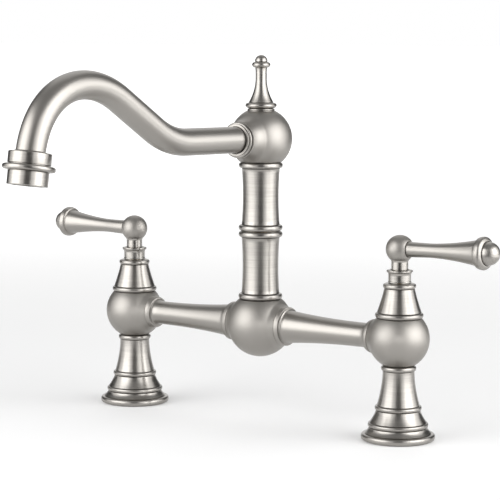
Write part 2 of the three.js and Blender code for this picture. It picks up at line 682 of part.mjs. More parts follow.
function bonnetGeometry() {
  const ringRoot = (BONNET_BASE_RADIUS + BONNET_RING_RADIUS) / 2;
  const topRoot = BONNET_TOP_RING_RADIUS - RING_RELIEF;
  const topRingTop = bonnetTop - BONNET_CAP_RISE;
  const topRing = topRingTop - BONNET_TOP_RING_WIDTH;
  const coneBottom = bonnetBottom + BONNET_RING_WIDTH;
  const outside = [
    ...ring(ringRoot, BONNET_RING_RADIUS, bonnetBottom, BONNET_RING_WIDTH),
    ...cove(
      [BONNET_BASE_RADIUS, coneBottom + CREASE],
      [BONNET_NECK_RADIUS, topRing - CREASE],
      BONNET_CURVE,
      3,
    ),
    ...ring(topRoot, BONNET_TOP_RING_RADIUS, topRing, BONNET_TOP_RING_WIDTH),
    [BONNET_NUT_RADIUS + RING_RELIEF, bonnetTop],
  ];
  const roof = bonnetTop - BONNET_WALL;
  const sleeveHole = CARTRIDGE_SLEEVE_RADIUS + SEAT_GAP;
  const innerNeck = BONNET_NECK_RADIUS - BONNET_WALL;
  const innerBase = BONNET_BASE_RADIUS - BONNET_WALL;
  const inside = [
    [sleeveHole, bonnetTop],
    [sleeveHole, roof],
    [innerNeck, roof],
    ...cove([innerBase, coneBottom], [innerNeck, topRing], BONNET_CURVE, 2).reverse(),
    [innerBase, bonnetBottom],
  ];
  return turned([...outside, ...inside], LARGE_SIDES);
}

function bonnetNutGeometry() {
  const lipBottom = bonnetNutTop - BONNET_NUT_LIP_HEIGHT;
  const outline = [
    [BONNET_NUT_RADIUS, bonnetNutBottom],
    [BONNET_NUT_RADIUS, lipBottom - BONNET_NUT_LIP_BEVEL],
    [BONNET_NUT_LIP_RADIUS, lipBottom + BONNET_NUT_LIP_BEVEL],
    [BONNET_NUT_LIP_RADIUS, bonnetNutTop - BONNET_NUT_LIP_BEVEL],
    [BONNET_NUT_LIP_RADIUS - BONNET_NUT_LIP_BEVEL, bonnetNutTop],
    [bonnetNutBore, bonnetNutTop],
    [bonnetNutBore, bonnetNutBottom],
  ];
  return turned(outline, LARGE_SIDES);
}

// ---------------------------------------------------------------- handle

function handleHubGeometry(side) {
  const fall = ballRise(HUB_RADIUS, HUB_NECK_RADIUS);
  const ballOutline = ballArc(HUB_RADIUS, hubCentre, -fall, HUB_RADIUS, 6);
  ballOutline[ballOutline.length - 1][0] = 0;
  const ball = turned([
    [0, hubBottom],
    [HUB_NECK_RADIUS, hubBottom],
    [HUB_NECK_RADIUS, hubCentre - fall - HUB_NECK_FILLET],
    ...ballOutline,
  ], MEDIUM_SIDES);
  const cutEnd = HUB_RADIUS + CUT_MARGIN;
  const stemBore = bar(stemRadius + SEAT_GAP, hubBottom - CUT_MARGIN, hubBoreTop, SMALL_SIDES);
  const screwHole = alongY(bar(GRUB_SCREW_RADIUS + SEAT_GAP, 0, cutEnd, FINE_SIDES), 1);
  screwHole.translate(0, 0, handleScrewLevel);
  const seat = bar(leverSeatRadius, leverSeat, cutEnd, MEDIUM_SIDES);
  const socketRadius = LEVER_SPIGOT_RADIUS + SEAT_GAP;
  const socketFloor = leverSeat - LEVER_SPIGOT_LENGTH - SEAT_GAP;
  const socket = bar(socketRadius, socketFloor, HUB_RADIUS, MEDIUM_SIDES);
  const place = (geometry) => {
    return alongX(geometry, side).rotateY(-side * LEVER_TILT).translate(0, 0, hubCentre);
  };
  return carve(ball, [], [stemBore, screwHole, place(seat), place(socket)]);
}

// A headless screw with a socket, lying between two distances from the axis.
function grubScrewGeometry(start, end) {
  const outline = [
    [0, start],
    [GRUB_SCREW_RADIUS - GRUB_SCREW_POINT, start],
    [GRUB_SCREW_RADIUS, start + GRUB_SCREW_POINT],
    [GRUB_SCREW_RADIUS, end],
    [GRUB_SOCKET_RADIUS, end],
    [GRUB_SOCKET_RADIUS, end - GRUB_SOCKET_DEPTH],
    [0, end - GRUB_SOCKET_DEPTH],
  ];
  return alongY(turned(outline, FINE_SIDES), 1);
}

// The lever, with heights of its outline as distances from the post's axis.
function leverGeometry(side) {
  const rimEnd = LEVER_LENGTH + LEVER_RIM_WIDTH;
  const rimRoot = (LEVER_FLARE_RADIUS + LEVER_RIM_RADIUS) / 2;
  const flareEnd = [LEVER_FLARE_RADIUS, LEVER_LENGTH];
  const waist = [LEVER_WAIST_RADIUS, LEVER_WAIST_REACH];
  const flare = cove(flareEnd, waist, LEVER_FLARE_CURVE, 5).reverse();
  const knobBore = KNOB_SPIGOT_RADIUS + SEAT_GAP;
  const knobBoreEnd = rimEnd - KNOB_SPIGOT_LENGTH;
  const outline = [
    [0, leverRoot - LEVER_SPIGOT_LENGTH],
    [LEVER_SPIGOT_RADIUS, leverRoot - LEVER_SPIGOT_LENGTH],
    [LEVER_SPIGOT_RADIUS, leverRoot],
    [LEVER_ROOT_RADIUS, leverRoot],
    ...flare,
    ...ring(rimRoot, LEVER_RIM_RADIUS, LEVER_LENGTH + CREASE, LEVER_RIM_WIDTH - CREASE),
    [knobBore, rimEnd],
    [knobBore, knobBoreEnd],
    [0, knobBoreEnd],
  ];
  return alongX(turned(outline, MEDIUM_SIDES), side);
}

// The rounded button that closes the end of the lever.
function leverKnobGeometry(side) {
  const seat = LEVER_LENGTH + LEVER_RIM_WIDTH + SEAT_GAP;
  const spigotStart = seat - KNOB_SPIGOT_LENGTH;
  const outline = [
    [0, spigotStart],
    [KNOB_SPIGOT_RADIUS, spigotStart],
    [KNOB_SPIGOT_RADIUS, seat],
    [KNOB_RADIUS, seat],
    ...quarterDome(KNOB_RADIUS, seat + KNOB_ROOT_LENGTH, KNOB_DOME_HEIGHT),
  ];
  return alongX(turned(outline, MEDIUM_SIDES), side);
}

// ---------------------------------------------------------------- bridge

// A groove for a rubber ring, as outline points along a spigot of the given radius.
function sealGroove(radius, centre) {
  const half = ARM_SEAL_SECTION / 2 + SEAL_GAP;
  const root = radius - ARM_SEAL_SECTION - SEAL_GAP;
  return [
    [radius, centre - half],
    [root, centre - half],
    [root, centre + half],
    [radius, centre + half],
  ];
}

function bridgeArmGeometry(side) {
  const spigotStart = armStart - ARM_TEE_SPIGOT_LENGTH;
  const spigotEnd = armEnd + ARM_POST_SPIGOT_LENGTH;
  const collarWidth = ARM_COLLAR_WIDTH;
  const coneStart = armStart + collarWidth + CREASE;
  const outline = [
    [ARM_TEE_SPIGOT_RADIUS, spigotStart],
    ...sealGroove(ARM_TEE_SPIGOT_RADIUS, armTeeSealReach),
    [ARM_TEE_SPIGOT_RADIUS, armStart],
    ...ring(ARM_COLLAR_RADIUS - RING_RELIEF, ARM_COLLAR_RADIUS, armStart, collarWidth),
    ...cove([ARM_TEE_RADIUS, coneStart], [ARM_POST_RADIUS, armEnd], ARM_CURVE, 5),
    [ARM_POST_SPIGOT_RADIUS, armEnd],
    ...sealGroove(ARM_POST_SPIGOT_RADIUS, armPostSealReach),
    [ARM_POST_SPIGOT_RADIUS, spigotEnd],
    [ARM_BORE_RADIUS, spigotEnd],
    [ARM_BORE_RADIUS, spigotStart],
  ];
  return alongX(turned(outline, MEDIUM_SIDES), side);
}

function armSealGeometry(side, spigotRadius, reach) {
  const inner = spigotRadius - ARM_SEAL_SECTION;
  return alongX(sealRing(inner, ARM_SEAL_SECTION, reach, MEDIUM_SIDES), side);
}

function mixingTeeGeometry() {
  const outline = ballArc(TEE_RADIUS, BRIDGE_HEIGHT, -TEE_RADIUS, teeTop - BRIDGE_HEIGHT, 8);
  outline[0][0] = 0;
  const ball = turned([...outline, [0, teeTop]], LARGE_SIDES);
  const lift = (geometry, side) => alongX(geometry, side).translate(0, 0, BRIDGE_HEIGHT);
  const bosses = [];
  const passages = [];
  for (const side of [-1, 1]) {
    const boss = turned([
      [0, 0],
      [TEE_BOSS_RADIUS, 0],
      [TEE_BOSS_RADIUS, teeBossReach - BOSS_BEVEL],
      [TEE_BOSS_RADIUS - BOSS_BEVEL, teeBossReach],
      [0, teeBossReach],
    ], LARGE_SIDES);
    const socketBottom = teeBossReach - ARM_TEE_SPIGOT_LENGTH;
    const socketEnd = teeBossReach + CUT_MARGIN;
    const socket = bar(ARM_TEE_SPIGOT_RADIUS + SEAT_GAP, socketBottom, socketEnd, MEDIUM_SIDES);
    const passage = bar(TEE_PASSAGE_RADIUS, 0, teeBossReach, SMALL_SIDES);
    bosses.push(lift(boss, side));
    passages.push(lift(socket, side), lift(passage, side));
  }
  const neckFloor = nippleBottom - SEAT_GAP;
  const neckSocket = bar(NIPPLE_RADIUS + SEAT_GAP, neckFloor, teeTop + CUT_MARGIN, MEDIUM_SIDES);
  const riserPassage = bar(TEE_PASSAGE_RADIUS, BRIDGE_HEIGHT, teeTop, SMALL_SIDES);
  return carve(ball, bosses, [...passages, neckSocket, riserPassage]);
}

// ---------------------------------------------------------------- column and swivel

// The outside of one column length: a ring at each end and a slight waist between them.
function riserOutside(bottom, top) {
  const root = RISER_RING_RADIUS - RISER_LIP_STEP;
  const shaftBottom = bottom + RISER_LIP_HEIGHT + RISER_RING_WIDTH;
  const shaftTop = top - RISER_LIP_HEIGHT - RISER_RING_WIDTH;
  const shaft = [];
  const steps = 4;
  for (let i = 0; i <= steps; i += 1) {
    const t = i / steps;
    const swell = (RISER_SHANK_RADIUS - RISER_WAIST_RADIUS) * Math.pow(2 * t - 1, 2);
    const height = THREE.MathUtils.lerp(shaftBottom + CREASE, shaftTop - CREASE, t);
    shaft.push([RISER_WAIST_RADIUS + swell, height]);
  }
  return [
    [root, bottom],
    ...ring(root, RISER_RING_RADIUS, bottom + RISER_LIP_HEIGHT, RISER_RING_WIDTH),
    ...shaft,
    ...ring(root, RISER_RING_RADIUS, shaftTop, RISER_RING_WIDTH),
    [root, top],
  ];
}

function lowerRiserGeometry() {
  const bore = NIPPLE_RADIUS + SEAT_GAP;
  const counterbore = nippleShoulderRadius + SEAT_GAP;
  const ledge = lowerRiserTop - NIPPLE_SHOULDER_LENGTH - SEAT_GAP;
  const inside = [
    [counterbore, lowerRiserTop],
    [counterbore, ledge],
    [bore, ledge],
    [bore, lowerRiserBottom],
  ];
  return turned([...riserOutside(lowerRiserBottom, lowerRiserTop), ...inside], LARGE_SIDES);
}

function upperRiserGeometry() {
  const counterbore = SLIP_WASHER_RADIUS + SEAT_GAP;
  const inside = [
    [swivelBore, upperRiserTop],
    [swivelBore, washerTop + SEAT_GAP],
    [counterbore, washerTop + SEAT_GAP],
    [counterbore, upperRiserBottom],
  ];
  const riser = turned([...riserOutside(upperRiserBottom, upperRiserTop), ...inside], LARGE_SIDES);
  const cutEnd = RISER_RING_RADIUS + CUT_MARGIN;
  const screwHole = alongY(bar(GRUB_SCREW_RADIUS + SEAT_GAP, 0, cutEnd, FINE_SIDES), 1);
  screwHole.translate(0, 0, retainingLevel);
  return carve(riser, [], [screwHole]);
}

function swivelNippleGeometry() {
  const shoulderBottom = lowerRiserTop - NIPPLE_SHOULDER_LENGTH;
  const groove = (radius, level, half) => [
    [NIPPLE_RADIUS, level - half],
    [radius, level - half],
    [radius, level + half],
    [NIPPLE_RADIUS, level + half],
  ];
  const sealHalf = swivelSealSection / 2 + SEAL_GAP;
  const outline = [
    [NIPPLE_RADIUS, nippleBottom],
    [NIPPLE_RADIUS, shoulderBottom],
    [nippleShoulderRadius, shoulderBottom],
    [nippleShoulderRadius, lowerRiserTop],
    [NIPPLE_RADIUS, lowerRiserTop],
    ...groove(NIPPLE_RADIUS - RETAINING_GROOVE_DEPTH, retainingLevel, RETAINING_GROOVE_WIDTH / 2),
    ...groove(swivelGrooveRadius, lowerSealLevel, sealHalf),
    ...groove(swivelGrooveRadius, upperSealLevel, sealHalf),
    [NIPPLE_RADIUS, nippleTop],
    [NIPPLE_BORE_RADIUS, nippleTop],
    [NIPPLE_BORE_RADIUS, nippleBottom],
  ];
  return turned(outline, SMALL_SIDES);
}

function slipWasherGeometry() {
  return tube(SLIP_WASHER_RADIUS, NIPPLE_RADIUS + SEAT_GAP, washerBottom, washerTop, MEDIUM_SIDES);
}

// ---------------------------------------------------------------- spout

function spoutHeadGeometry() {
  const fall = headCentre - headFoot;
  const rise = headCrown - headCentre;
  const spigotBottom = headFoot - HEAD_SPIGOT_LENGTH;
  const spigotRadius = swivelBore - SEAT_GAP;
  const ball = turned([
    [0, spigotBottom],
    [spigotRadius, spigotBottom],
    [spigotRadius, headFoot],
    ...ballArc(HEAD_RADIUS, headCentre, -fall, rise, 8),
    [0, headCrown],
  ], LARGE_SIDES);
  const crownEnd = headCrown + CUT_MARGIN;
  const riserPassage = bar(HEAD_PASSAGE_RADIUS, spigotBottom - CUT_MARGIN, headCentre, MEDIUM_SIDES);
  const finialHoleRadius = FINIAL_SPIGOT_RADIUS + SEAT_GAP;
  const finialHole = bar(finialHoleRadius, headCrown - FINIAL_SPIGOT_LENGTH, crownEnd, SMALL_SIDES);
  const lay = (geometry) => alongY(geometry, -1).translate(0, 0, headCentre);
  const bossRoot = ballRise(HEAD_RADIUS, HEAD_BOSS_ROOT_RADIUS);
  const boss = lay(turned([
    [0, 0],
    [HEAD_BOSS_ROOT_RADIUS, 0],
    ...cove([HEAD_BOSS_ROOT_RADIUS, bossRoot], [HEAD_BOSS_RADIUS, HEAD_BOSS_REACH], HEAD_BOSS_CURVE, 4),
    [0, HEAD_BOSS_REACH],
  ], LARGE_SIDES));
  const socketEnd = HEAD_BOSS_REACH + CUT_MARGIN;
  const spoutPassage = lay(bar(HEAD_PASSAGE_RADIUS, 0, socketEnd, MEDIUM_SIDES));
  const socket = lay(bar(spoutSocketRadius, spoutSocketFloor, socketEnd, LARGE_SIDES));
  return carve(ball, [boss], [riserPassage, finialHole, spoutPassage, socket]);
}

function finialGeometry() {
  const seat = headCrown + SEAT_GAP;
  const spigotBottom = seat - FINIAL_SPIGOT_LENGTH;
  const baseBottom = seat + FINIAL_STEP_HEIGHT;
  const baseTop = baseBottom + FINIAL_BASE_WIDTH;
  const bellTop = baseTop + FINIAL_BELL_HEIGHT;
  const ringBottom = bellTop + FINIAL_STEM_HEIGHT;
  const ringTop = ringBottom + FINIAL_RING_WIDTH;
  const baseRoot = FINIAL_BASE_RADIUS - RING_RELIEF;
  const flareRadius = FINIAL_STEM_RADIUS + FINIAL_STEM_FLARE;
  const outline = [
    [0, spigotBottom],
    [FINIAL_SPIGOT_RADIUS, spigotBottom],
    [FINIAL_SPIGOT_RADIUS, seat],
    [FINIAL_STEP_RADIUS, seat],
    [FINIAL_STEP_RADIUS, baseBottom - CREASE],
    ...ring(baseRoot, FINIAL_BASE_RADIUS, baseBottom, FINIAL_BASE_WIDTH),
    ...cove(
      [FINIAL_BELL_RADIUS, baseTop + CREASE],
      [FINIAL_STEM_RADIUS, bellTop],
      FINIAL_BELL_CURVE,
      4,
    ),
    [FINIAL_STEM_RADIUS, (bellTop + 2 * ringBottom) / 3],
    [flareRadius, ringBottom - CREASE],
    ...ring(flareRadius + FINIAL_STEM_FLARE, FINIAL_RING_RADIUS, ringBottom, FINIAL_RING_WIDTH),
    ...quarterDome(FINIAL_BUTTON_RADIUS, ringTop + CREASE, FINIAL_BUTTON_HEIGHT),
  ];
  return turned(outline, MEDIUM_SIDES);
}

// The collar where the tube leaves the head: a thin step, a crease and a rounded bead.
function spoutCollarGeometry() {
  const grooveRadius = spoutCollarRadius - SPOUT_COLLAR_GROOVE;
  const grooveStart = collarStart + SPOUT_COLLAR_STEP_LENGTH;
  const outline = [
    [spoutCollarRadius, collarStart],
    [spoutCollarRadius, grooveStart - CREASE],
    [grooveRadius, grooveStart],
    [spoutCollarRadius, grooveStart + SPOUT_COLLAR_GROOVE],
    [spoutCollarRadius, collarEnd - SPOUT_COLLAR_NOSE],
    [spoutCollarRadius - SPOUT_COLLAR_NOSE, collarEnd],
    [spoutSocketRadius, collarEnd],
    [spoutSocketRadius, collarStart],
  ];
  return alongY(turned(outline, LARGE_SIDES), -1).translate(0, 0, headCentre);
}

// The spout's centre line in the plane X = 0, from inside the head to the tip.
function spoutPath() {
  const at = (reach, height) => new THREE.Vector3(0, -reach, height);
  const root = at(spoutSocketFloor + SEAT_GAP, headCentre);
  const corner = at(SPOUT_CORNER_REACH, headCentre + SPOUT_CORNER_RISE);
  const rootDirection = corner.clone().sub(root).normalize();
  const slope = at(Math.cos(SPOUT_SLOPE), Math.sin(SPOUT_SLOPE));
  const bendStart = corner.clone().addScaledVector(rootDirection, -SPOUT_BEND_TANGENT);
  const bendEnd = corner.clone().addScaledVector(slope, SPOUT_BEND_TANGENT);
  const archStart = corner.clone().addScaledVector(slope, SPOUT_SLOPE_LENGTH);
  const archHandle = archStart.clone().addScaledVector(slope, SPOUT_ARCH_LIFT);
  const tip = at(spoutTipReach, spoutTipLevel);
  const tipUp = at(-Math.sin(SPOUT_TIP_TILT), Math.cos(SPOUT_TIP_TILT));
  const tipHandle = tip.clone().addScaledVector(tipUp, SPOUT_TIP_RUN);
  const path = new THREE.CurvePath();
  path.add(new THREE.LineCurve3(root, bendStart));
  path.add(new THREE.QuadraticBezierCurve3(bendStart, corner, bendEnd));
  path.add(new THREE.LineCurve3(bendEnd, archStart));
  path.add(new THREE.CubicBezierCurve3(archStart, archHandle, tipHandle, tip));
  return path;
}

function spoutTubeGeometry() {
  const section = new THREE.Shape();
  section.absarc(0, 0, SPOUT_TUBE_RADIUS, 0, 2 * Math.PI, false);
  const bore = new THREE.Path();
  bore.absarc(0, 0, SPOUT_TUBE_RADIUS - SPOUT_WALL, 0, 2 * Math.PI, true);
  section.holes.push(bore);
  return new THREE.ExtrudeGeometry(section, {
    steps: SPOUT_STEPS,
    bevelEnabled: false,
    curveSegments: SPOUT_QUARTER_SEGMENTS,
    extrudePath: spoutPath(),
  });
}

// ---------------------------------------------------------------- aerator

// Heights here are along the spout's tip, with 0 at the end of the tube and + up into it.
const aeratorSleeveRadius = SPOUT_TUBE_RADIUS + SPOUT_SOCKET_GAP;
const aeratorCollarRadius = aeratorSleeveRadius + AERATOR_COLLAR_WALL;
const aeratorCollarBottom = AERATOR_COLLAR_OVERLAP - AERATOR_COLLAR_HEIGHT;
const shellTop = aeratorCollarBottom - SEAT_GAP;
const shellFlangeBottom = shellTop - AERATOR_FLANGE_HEIGHT;
const skirtBottom = shellFlangeBottom - AERATOR_SKIRT_HEIGHT;
const skirtBore = AERATOR_SKIRT_RADIUS - AERATOR_WALL;
const insertRadius = skirtBore - SEAT_GAP;
const gasketTop = aeratorCollarBottom - SEAT_GAP;
const gasketBottom = gasketTop - AERATOR_GASKET_HEIGHT;
const screenTop = gasketBottom - SEAT_GAP;
const screenBottom = screenTop - AERATOR_SCREEN_THICKNESS;
const insertTop = screenBottom - SEAT_GAP;
const insertBottom = skirtBottom + AERATOR_LEDGE_HEIGHT + SEAT_GAP;

function aeratorCollarGeometry() {
  const top = AERATOR_COLLAR_OVERLAP;
  const outline = [
    [aeratorCollarRadius, aeratorCollarBottom],
    [aeratorCollarRadius, top - AERATOR_COLLAR_EDGE],
    [aeratorCollarRadius - AERATOR_COLLAR_EDGE, top],
    [aeratorSleeveRadius, top],
    [aeratorSleeveRadius, aeratorCollarBottom],
  ];
  return turned(outline, LARGE_SIDES);
}

function aeratorShellGeometry() {
  const flangeRadius = AERATOR_SKIRT_RADIUS + AERATOR_FLANGE_STEP;
  const ledgeRadius = skirtBore - AERATOR_LEDGE_WIDTH;
  const flangeRoot = flangeRadius - RING_RELIEF;
  const outline = [
    [AERATOR_SKIRT_RADIUS - AERATOR_SKIRT_EDGE, skirtBottom],
    [AERATOR_SKIRT_RADIUS, skirtBottom + AERATOR_SKIRT_EDGE],
    [AERATOR_SKIRT_RADIUS, shellFlangeBottom],
    ...ring(flangeRoot, flangeRadius, shellFlangeBottom, AERATOR_FLANGE_HEIGHT),
    [skirtBore, shellTop],
    [skirtBore, skirtBottom + AERATOR_LEDGE_HEIGHT],
    [ledgeRadius, skirtBottom + AERATOR_LEDGE_HEIGHT],
    [ledgeRadius, skirtBottom],
  ];
  return turned(outline, LARGE_SIDES);
}

// A round plate with a ring of holes and one in the middle.
function piercedPlate(radius, holeRadius, holeRing, bottom, thickness) {
  const top = bottom + thickness;
  const hole = () => bar(holeRadius, bottom - CUT_MARGIN, top + CUT_MARGIN, FINE_SIDES);
  const holes = [hole()];
  for (let i = 0; i < HOLE_COUNT; i += 1) {
    const angle = (i * 2 * Math.PI) / HOLE_COUNT;
    holes.push(hole().translate(holeRing * Math.cos(angle), holeRing * Math.sin(angle), 0));
  }
  return carve(bar(radius, bottom, top, MEDIUM_SIDES), [], holes);
}

function aeratorInsertGeometry() {
  const holeRing = insertRadius * HOLE_RING_SHARE;
  return piercedPlate(insertRadius, INSERT_HOLE_RADIUS, holeRing, insertBottom, insertTop - insertBottom);
}

function aeratorScreenGeometry() {
  const holeRing = insertRadius * HOLE_RING_SHARE;
  return piercedPlate(insertRadius, SCREEN_HOLE_RADIUS, holeRing, screenBottom, AERATOR_SCREEN_THICKNESS);
}

function aeratorGasketGeometry() {
  return tube(insertRadius, AERATOR_GASKET_BORE_RADIUS, gasketBottom, gasketTop, SMALL_SIDES);
}

// ---------------------------------------------------------------- assembly

const faucet = new THREE.Group();

function addPost(name, side) {
  const post = new THREE.Group();
  post.position.x = (side * POST_SPACING) / 2;
  faucet.add(post);
  piece(`${name}_pedestal`, pedestalGeometry(), satinNickel(), post);
  piece(`${name}_deck_gasket`, deckGasketGeometry(), blackRubber(), post);
  piece(`${name}_inlet_shank`, inletShankGeometry(), rawBrass(), post);
  piece(`${name}_valve_body`, valveBodyGeometry(side), satinNickel(), post);
  piece(`${name}_cartridge_seal`, cartridgeSealGeometry(), blackRubber(), post);
  piece(`${name}_cartridge_body`, cartridgeBodyGeometry(), rawBrass(), post);
  piece(`${name}_fixed_disc`, discGeometry(fixedDiscBottom), whiteCeramic(), post);
  piece(`${name}_moving_disc`, discGeometry(movingDiscBottom), whiteCeramic(), post);
  piece(`${name}_stem`, stemGeometry(), rawBrass(), post);
  piece(`${name}_stem_seal`, stemSealGeometry(), blackRubber(), post);
  piece(`${name}_bonnet`, bonnetGeometry(), satinNickel(), post);
  piece(`${name}_bonnet_nut`, bonnetNutGeometry(), satinNickel(), post);
  piece(`${name}_handle_hub`, handleHubGeometry(side), satinNickel(), post);
  const screw = grubScrewGeometry(handleScrewStart, handleScrewEnd);
  piece(`${name}_handle_screw`, screw, steel(), post, [0, 0, handleScrewLevel]);
  const lever = new THREE.Group();
  lever.position.z = hubCentre;
  lever.rotation.y = -side * LEVER_TILT;
  post.add(lever);
  piece(`${name}_lever`, leverGeometry(side), satinNickel(), lever);
  piece(`${name}_lever_knob`, leverKnobGeometry(side), satinNickel(), lever);
}

function addBridgeArm(name, side) {
  const arm = new THREE.Group();
  arm.position.z = BRIDGE_HEIGHT;
  faucet.add(arm);
  piece(`${name}_bridge_arm`, bridgeArmGeometry(side), satinNickel(), arm);
  const innerSeal = armSealGeometry(side, ARM_TEE_SPIGOT_RADIUS, armTeeSealReach);
  piece(`${name}_arm_inner_seal`, innerSeal, blackRubber(), arm);
  const outerSeal = armSealGeometry(side, ARM_POST_SPIGOT_RADIUS, armPostSealReach);
  piece(`${name}_arm_outer_seal`, outerSeal, blackRubber(), arm);
}

function addColumn() {
  piece('mixing_tee', mixingTeeGeometry(), satinNickel(), faucet);
  piece('lower_riser', lowerRiserGeometry(), satinNickel(), faucet);
  piece('swivel_nipple', swivelNippleGeometry(), rawBrass(), faucet);
  piece('slip_washer', slipWasherGeometry(), whiteAcetal(), faucet);
  for (const [name, level] of [['lower', lowerSealLevel], ['upper', upperSealLevel]]) {
    const seal = sealRing(swivelSealInner, swivelSealSection, level, MEDIUM_SIDES);
    piece(`swivel_${name}_seal`, seal, blackRubber(), faucet);
  }
  piece('upper_riser', upperRiserGeometry(), satinNickel(), faucet);
  const screw = grubScrewGeometry(swivelScrewStart, swivelScrewStart + SWIVEL_SCREW_LENGTH);
  piece('swivel_screw', screw, steel(), faucet, [0, 0, retainingLevel]);
}

function addSpout() {
  piece('spout_head', spoutHeadGeometry(), satinNickel(), faucet);
  piece('finial', finialGeometry(), satinNickel(), faucet);
  piece('spout_collar', spoutCollarGeometry(), satinNickel(), faucet);
  piece('spout_tube', spoutTubeGeometry(), satinNickel(), faucet);
  const tip = new THREE.Group();
  tip.position.set(0, -spoutTipReach, spoutTipLevel);
  tip.rotation.x = -SPOUT_TIP_TILT;
  faucet.add(tip);
  piece('aerator_collar', aeratorCollarGeometry(), satinNickel(), tip);
  piece('aerator_shell', aeratorShellGeometry(), satinNickel(), tip);
  piece('aerator_insert', aeratorInsertGeometry(), whiteAcetal(), tip);
  piece('aerator_screen', aeratorScreenGeometry(), steel(), tip);
  piece('aerator_gasket', aeratorGasketGeometry(), blackRubber(), tip);
}

addPost('hot', -1);
addPost('cold', 1);
addBridgeArm('hot', -1);
addBridgeArm('cold', 1);
addColumn();
addSpout();

export default faucet;
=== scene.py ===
import json
import math

import bpy
from mathutils import Matrix, Vector


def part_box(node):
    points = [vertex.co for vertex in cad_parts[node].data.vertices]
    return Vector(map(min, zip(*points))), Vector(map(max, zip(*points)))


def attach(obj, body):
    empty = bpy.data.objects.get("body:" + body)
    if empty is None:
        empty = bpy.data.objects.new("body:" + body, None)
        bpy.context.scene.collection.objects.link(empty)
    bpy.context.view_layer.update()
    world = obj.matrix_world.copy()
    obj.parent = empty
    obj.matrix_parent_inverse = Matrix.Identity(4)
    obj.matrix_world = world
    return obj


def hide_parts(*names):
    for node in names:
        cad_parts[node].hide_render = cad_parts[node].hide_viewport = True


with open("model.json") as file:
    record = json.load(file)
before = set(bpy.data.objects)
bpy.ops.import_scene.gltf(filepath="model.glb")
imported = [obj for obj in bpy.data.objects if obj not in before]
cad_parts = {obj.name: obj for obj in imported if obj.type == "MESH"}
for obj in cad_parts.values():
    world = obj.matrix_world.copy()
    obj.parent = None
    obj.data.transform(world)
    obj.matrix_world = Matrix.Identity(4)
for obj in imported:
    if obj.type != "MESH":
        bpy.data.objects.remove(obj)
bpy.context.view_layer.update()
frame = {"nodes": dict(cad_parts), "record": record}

# Bridge kitchen faucet in satin brushed nickel. The camera and the studio are in metres. The
# faucet's lengths are in millimetres, and MM turns them into metres where a piece is made. +Z is
# up, the spout points to -Y and the hot side is at -X.

MM = 0.001
QUARTER = math.pi / 2

# ------------------------------------------------------------------ camera

CAMERA_PLACE = (0.7190, -0.9709, 0.2364)
CAMERA_TURN = math.radians(36.83)
CAMERA_PITCH = math.radians(6.16)
CAMERA_ROLL = math.radians(0.18)
CAMERA_LENS = 141.84
CAMERA_SENSOR = 36

bpy.ops.object.camera_add()
camera = bpy.context.object
camera.name = "photo_camera"
camera.data.lens = CAMERA_LENS
camera.data.sensor_width = CAMERA_SENSOR
camera.matrix_world = (
    Matrix.Translation(CAMERA_PLACE)
    @ Matrix.Rotation(CAMERA_TURN, 4, "Z")
    @ Matrix.Rotation(QUARTER - CAMERA_PITCH, 4, "X")
    @ Matrix.Rotation(CAMERA_ROLL, 4, "Z")
)
bpy.context.scene.camera = camera
bpy.context.scene.view_settings.view_transform = "Standard"

# Horizontal directions in the studio: from the faucet to the camera, and to the camera's right.
TO_CAMERA = Vector((math.sin(CAMERA_TURN), -math.cos(CAMERA_TURN), 0))
TO_RIGHT = Vector((math.cos(CAMERA_TURN), math.sin(CAMERA_TURN), 0))

# ------------------------------------------------------------------ node helpers


def node(tree, kind, **values):
    """Adds a shader node and sets its properties, and its sockets by name."""
    made = tree.nodes.new(kind)
    for name, value in values.items():
        if hasattr(made, name):
            setattr(made, name, value)
        else:
            made.inputs[name].default_value = value
    return made


def scaled(tree, vector, scale):
    """A Mapping node that scales a vector socket."""
    mapping = tree.nodes.new("ShaderNodeMapping")
    mapping.inputs["Scale"].default_value = scale
    tree.links.new(vector, mapping.inputs["Vector"])
    return mapping.outputs["Vector"]


def ramp(tree, value, low, high, to_low, to_high):
    """A smooth Map Range node after a value socket."""
    span = tree.nodes.new("ShaderNodeMapRange")
    span.interpolation_type = "SMOOTHSTEP"
    numbers = {"From Min": low, "From Max": high, "To Min": to_low, "To Max": to_high}
    for name, number in numbers.items():
        span.inputs[name].default_value = number
    tree.links.new(value, span.inputs["Value"])
    return span.outputs["Result"]


def blended(tree, share, first, second):
    """A colour between two colours, by a share socket."""
    mix = tree.nodes.new("ShaderNodeMix")
    mix.data_type = "RGBA"
    tree.links.new(share, mix.inputs["Factor"])
    sockets = [s for s in mix.inputs if s.type == "RGBA"]
    for socket, colour in zip(sockets, (first, second)):
        if isinstance(colour, tuple):
            socket.default_value = colour
        else:
            tree.links.new(colour, socket)
    return [s for s in mix.outputs if s.type == "RGBA"][0]


def maths(tree, operation, first, second=None, third=None, clamp=False):
    """A Math node. Each of its values is a socket or a number."""
    sums = node(tree, "ShaderNodeMath", operation=operation, use_clamp=clamp)
    for socket, value in zip(sums.inputs, (first, second, third)):
        if isinstance(value, (int, float)):
            socket.default_value = value
        elif value is not None:
            tree.links.new(value, socket)
    return sums.outputs["Value"]


def along(tree, place, direction):
    """How far a place lies in a direction."""
    dot = node(tree, "ShaderNodeVectorMath", operation="DOT_PRODUCT")
    tree.links.new(place, dot.inputs[0])
    dot.inputs[1].default_value = tuple(direction)
    return dot.outputs["Value"]


def grey(shade, warmth=0.0):
    """A neutral colour, a little redder and less blue by its warmth."""
    return (shade * (1 + warmth), shade, shade * (1 - warmth), 1)


# ------------------------------------------------------------------ studio

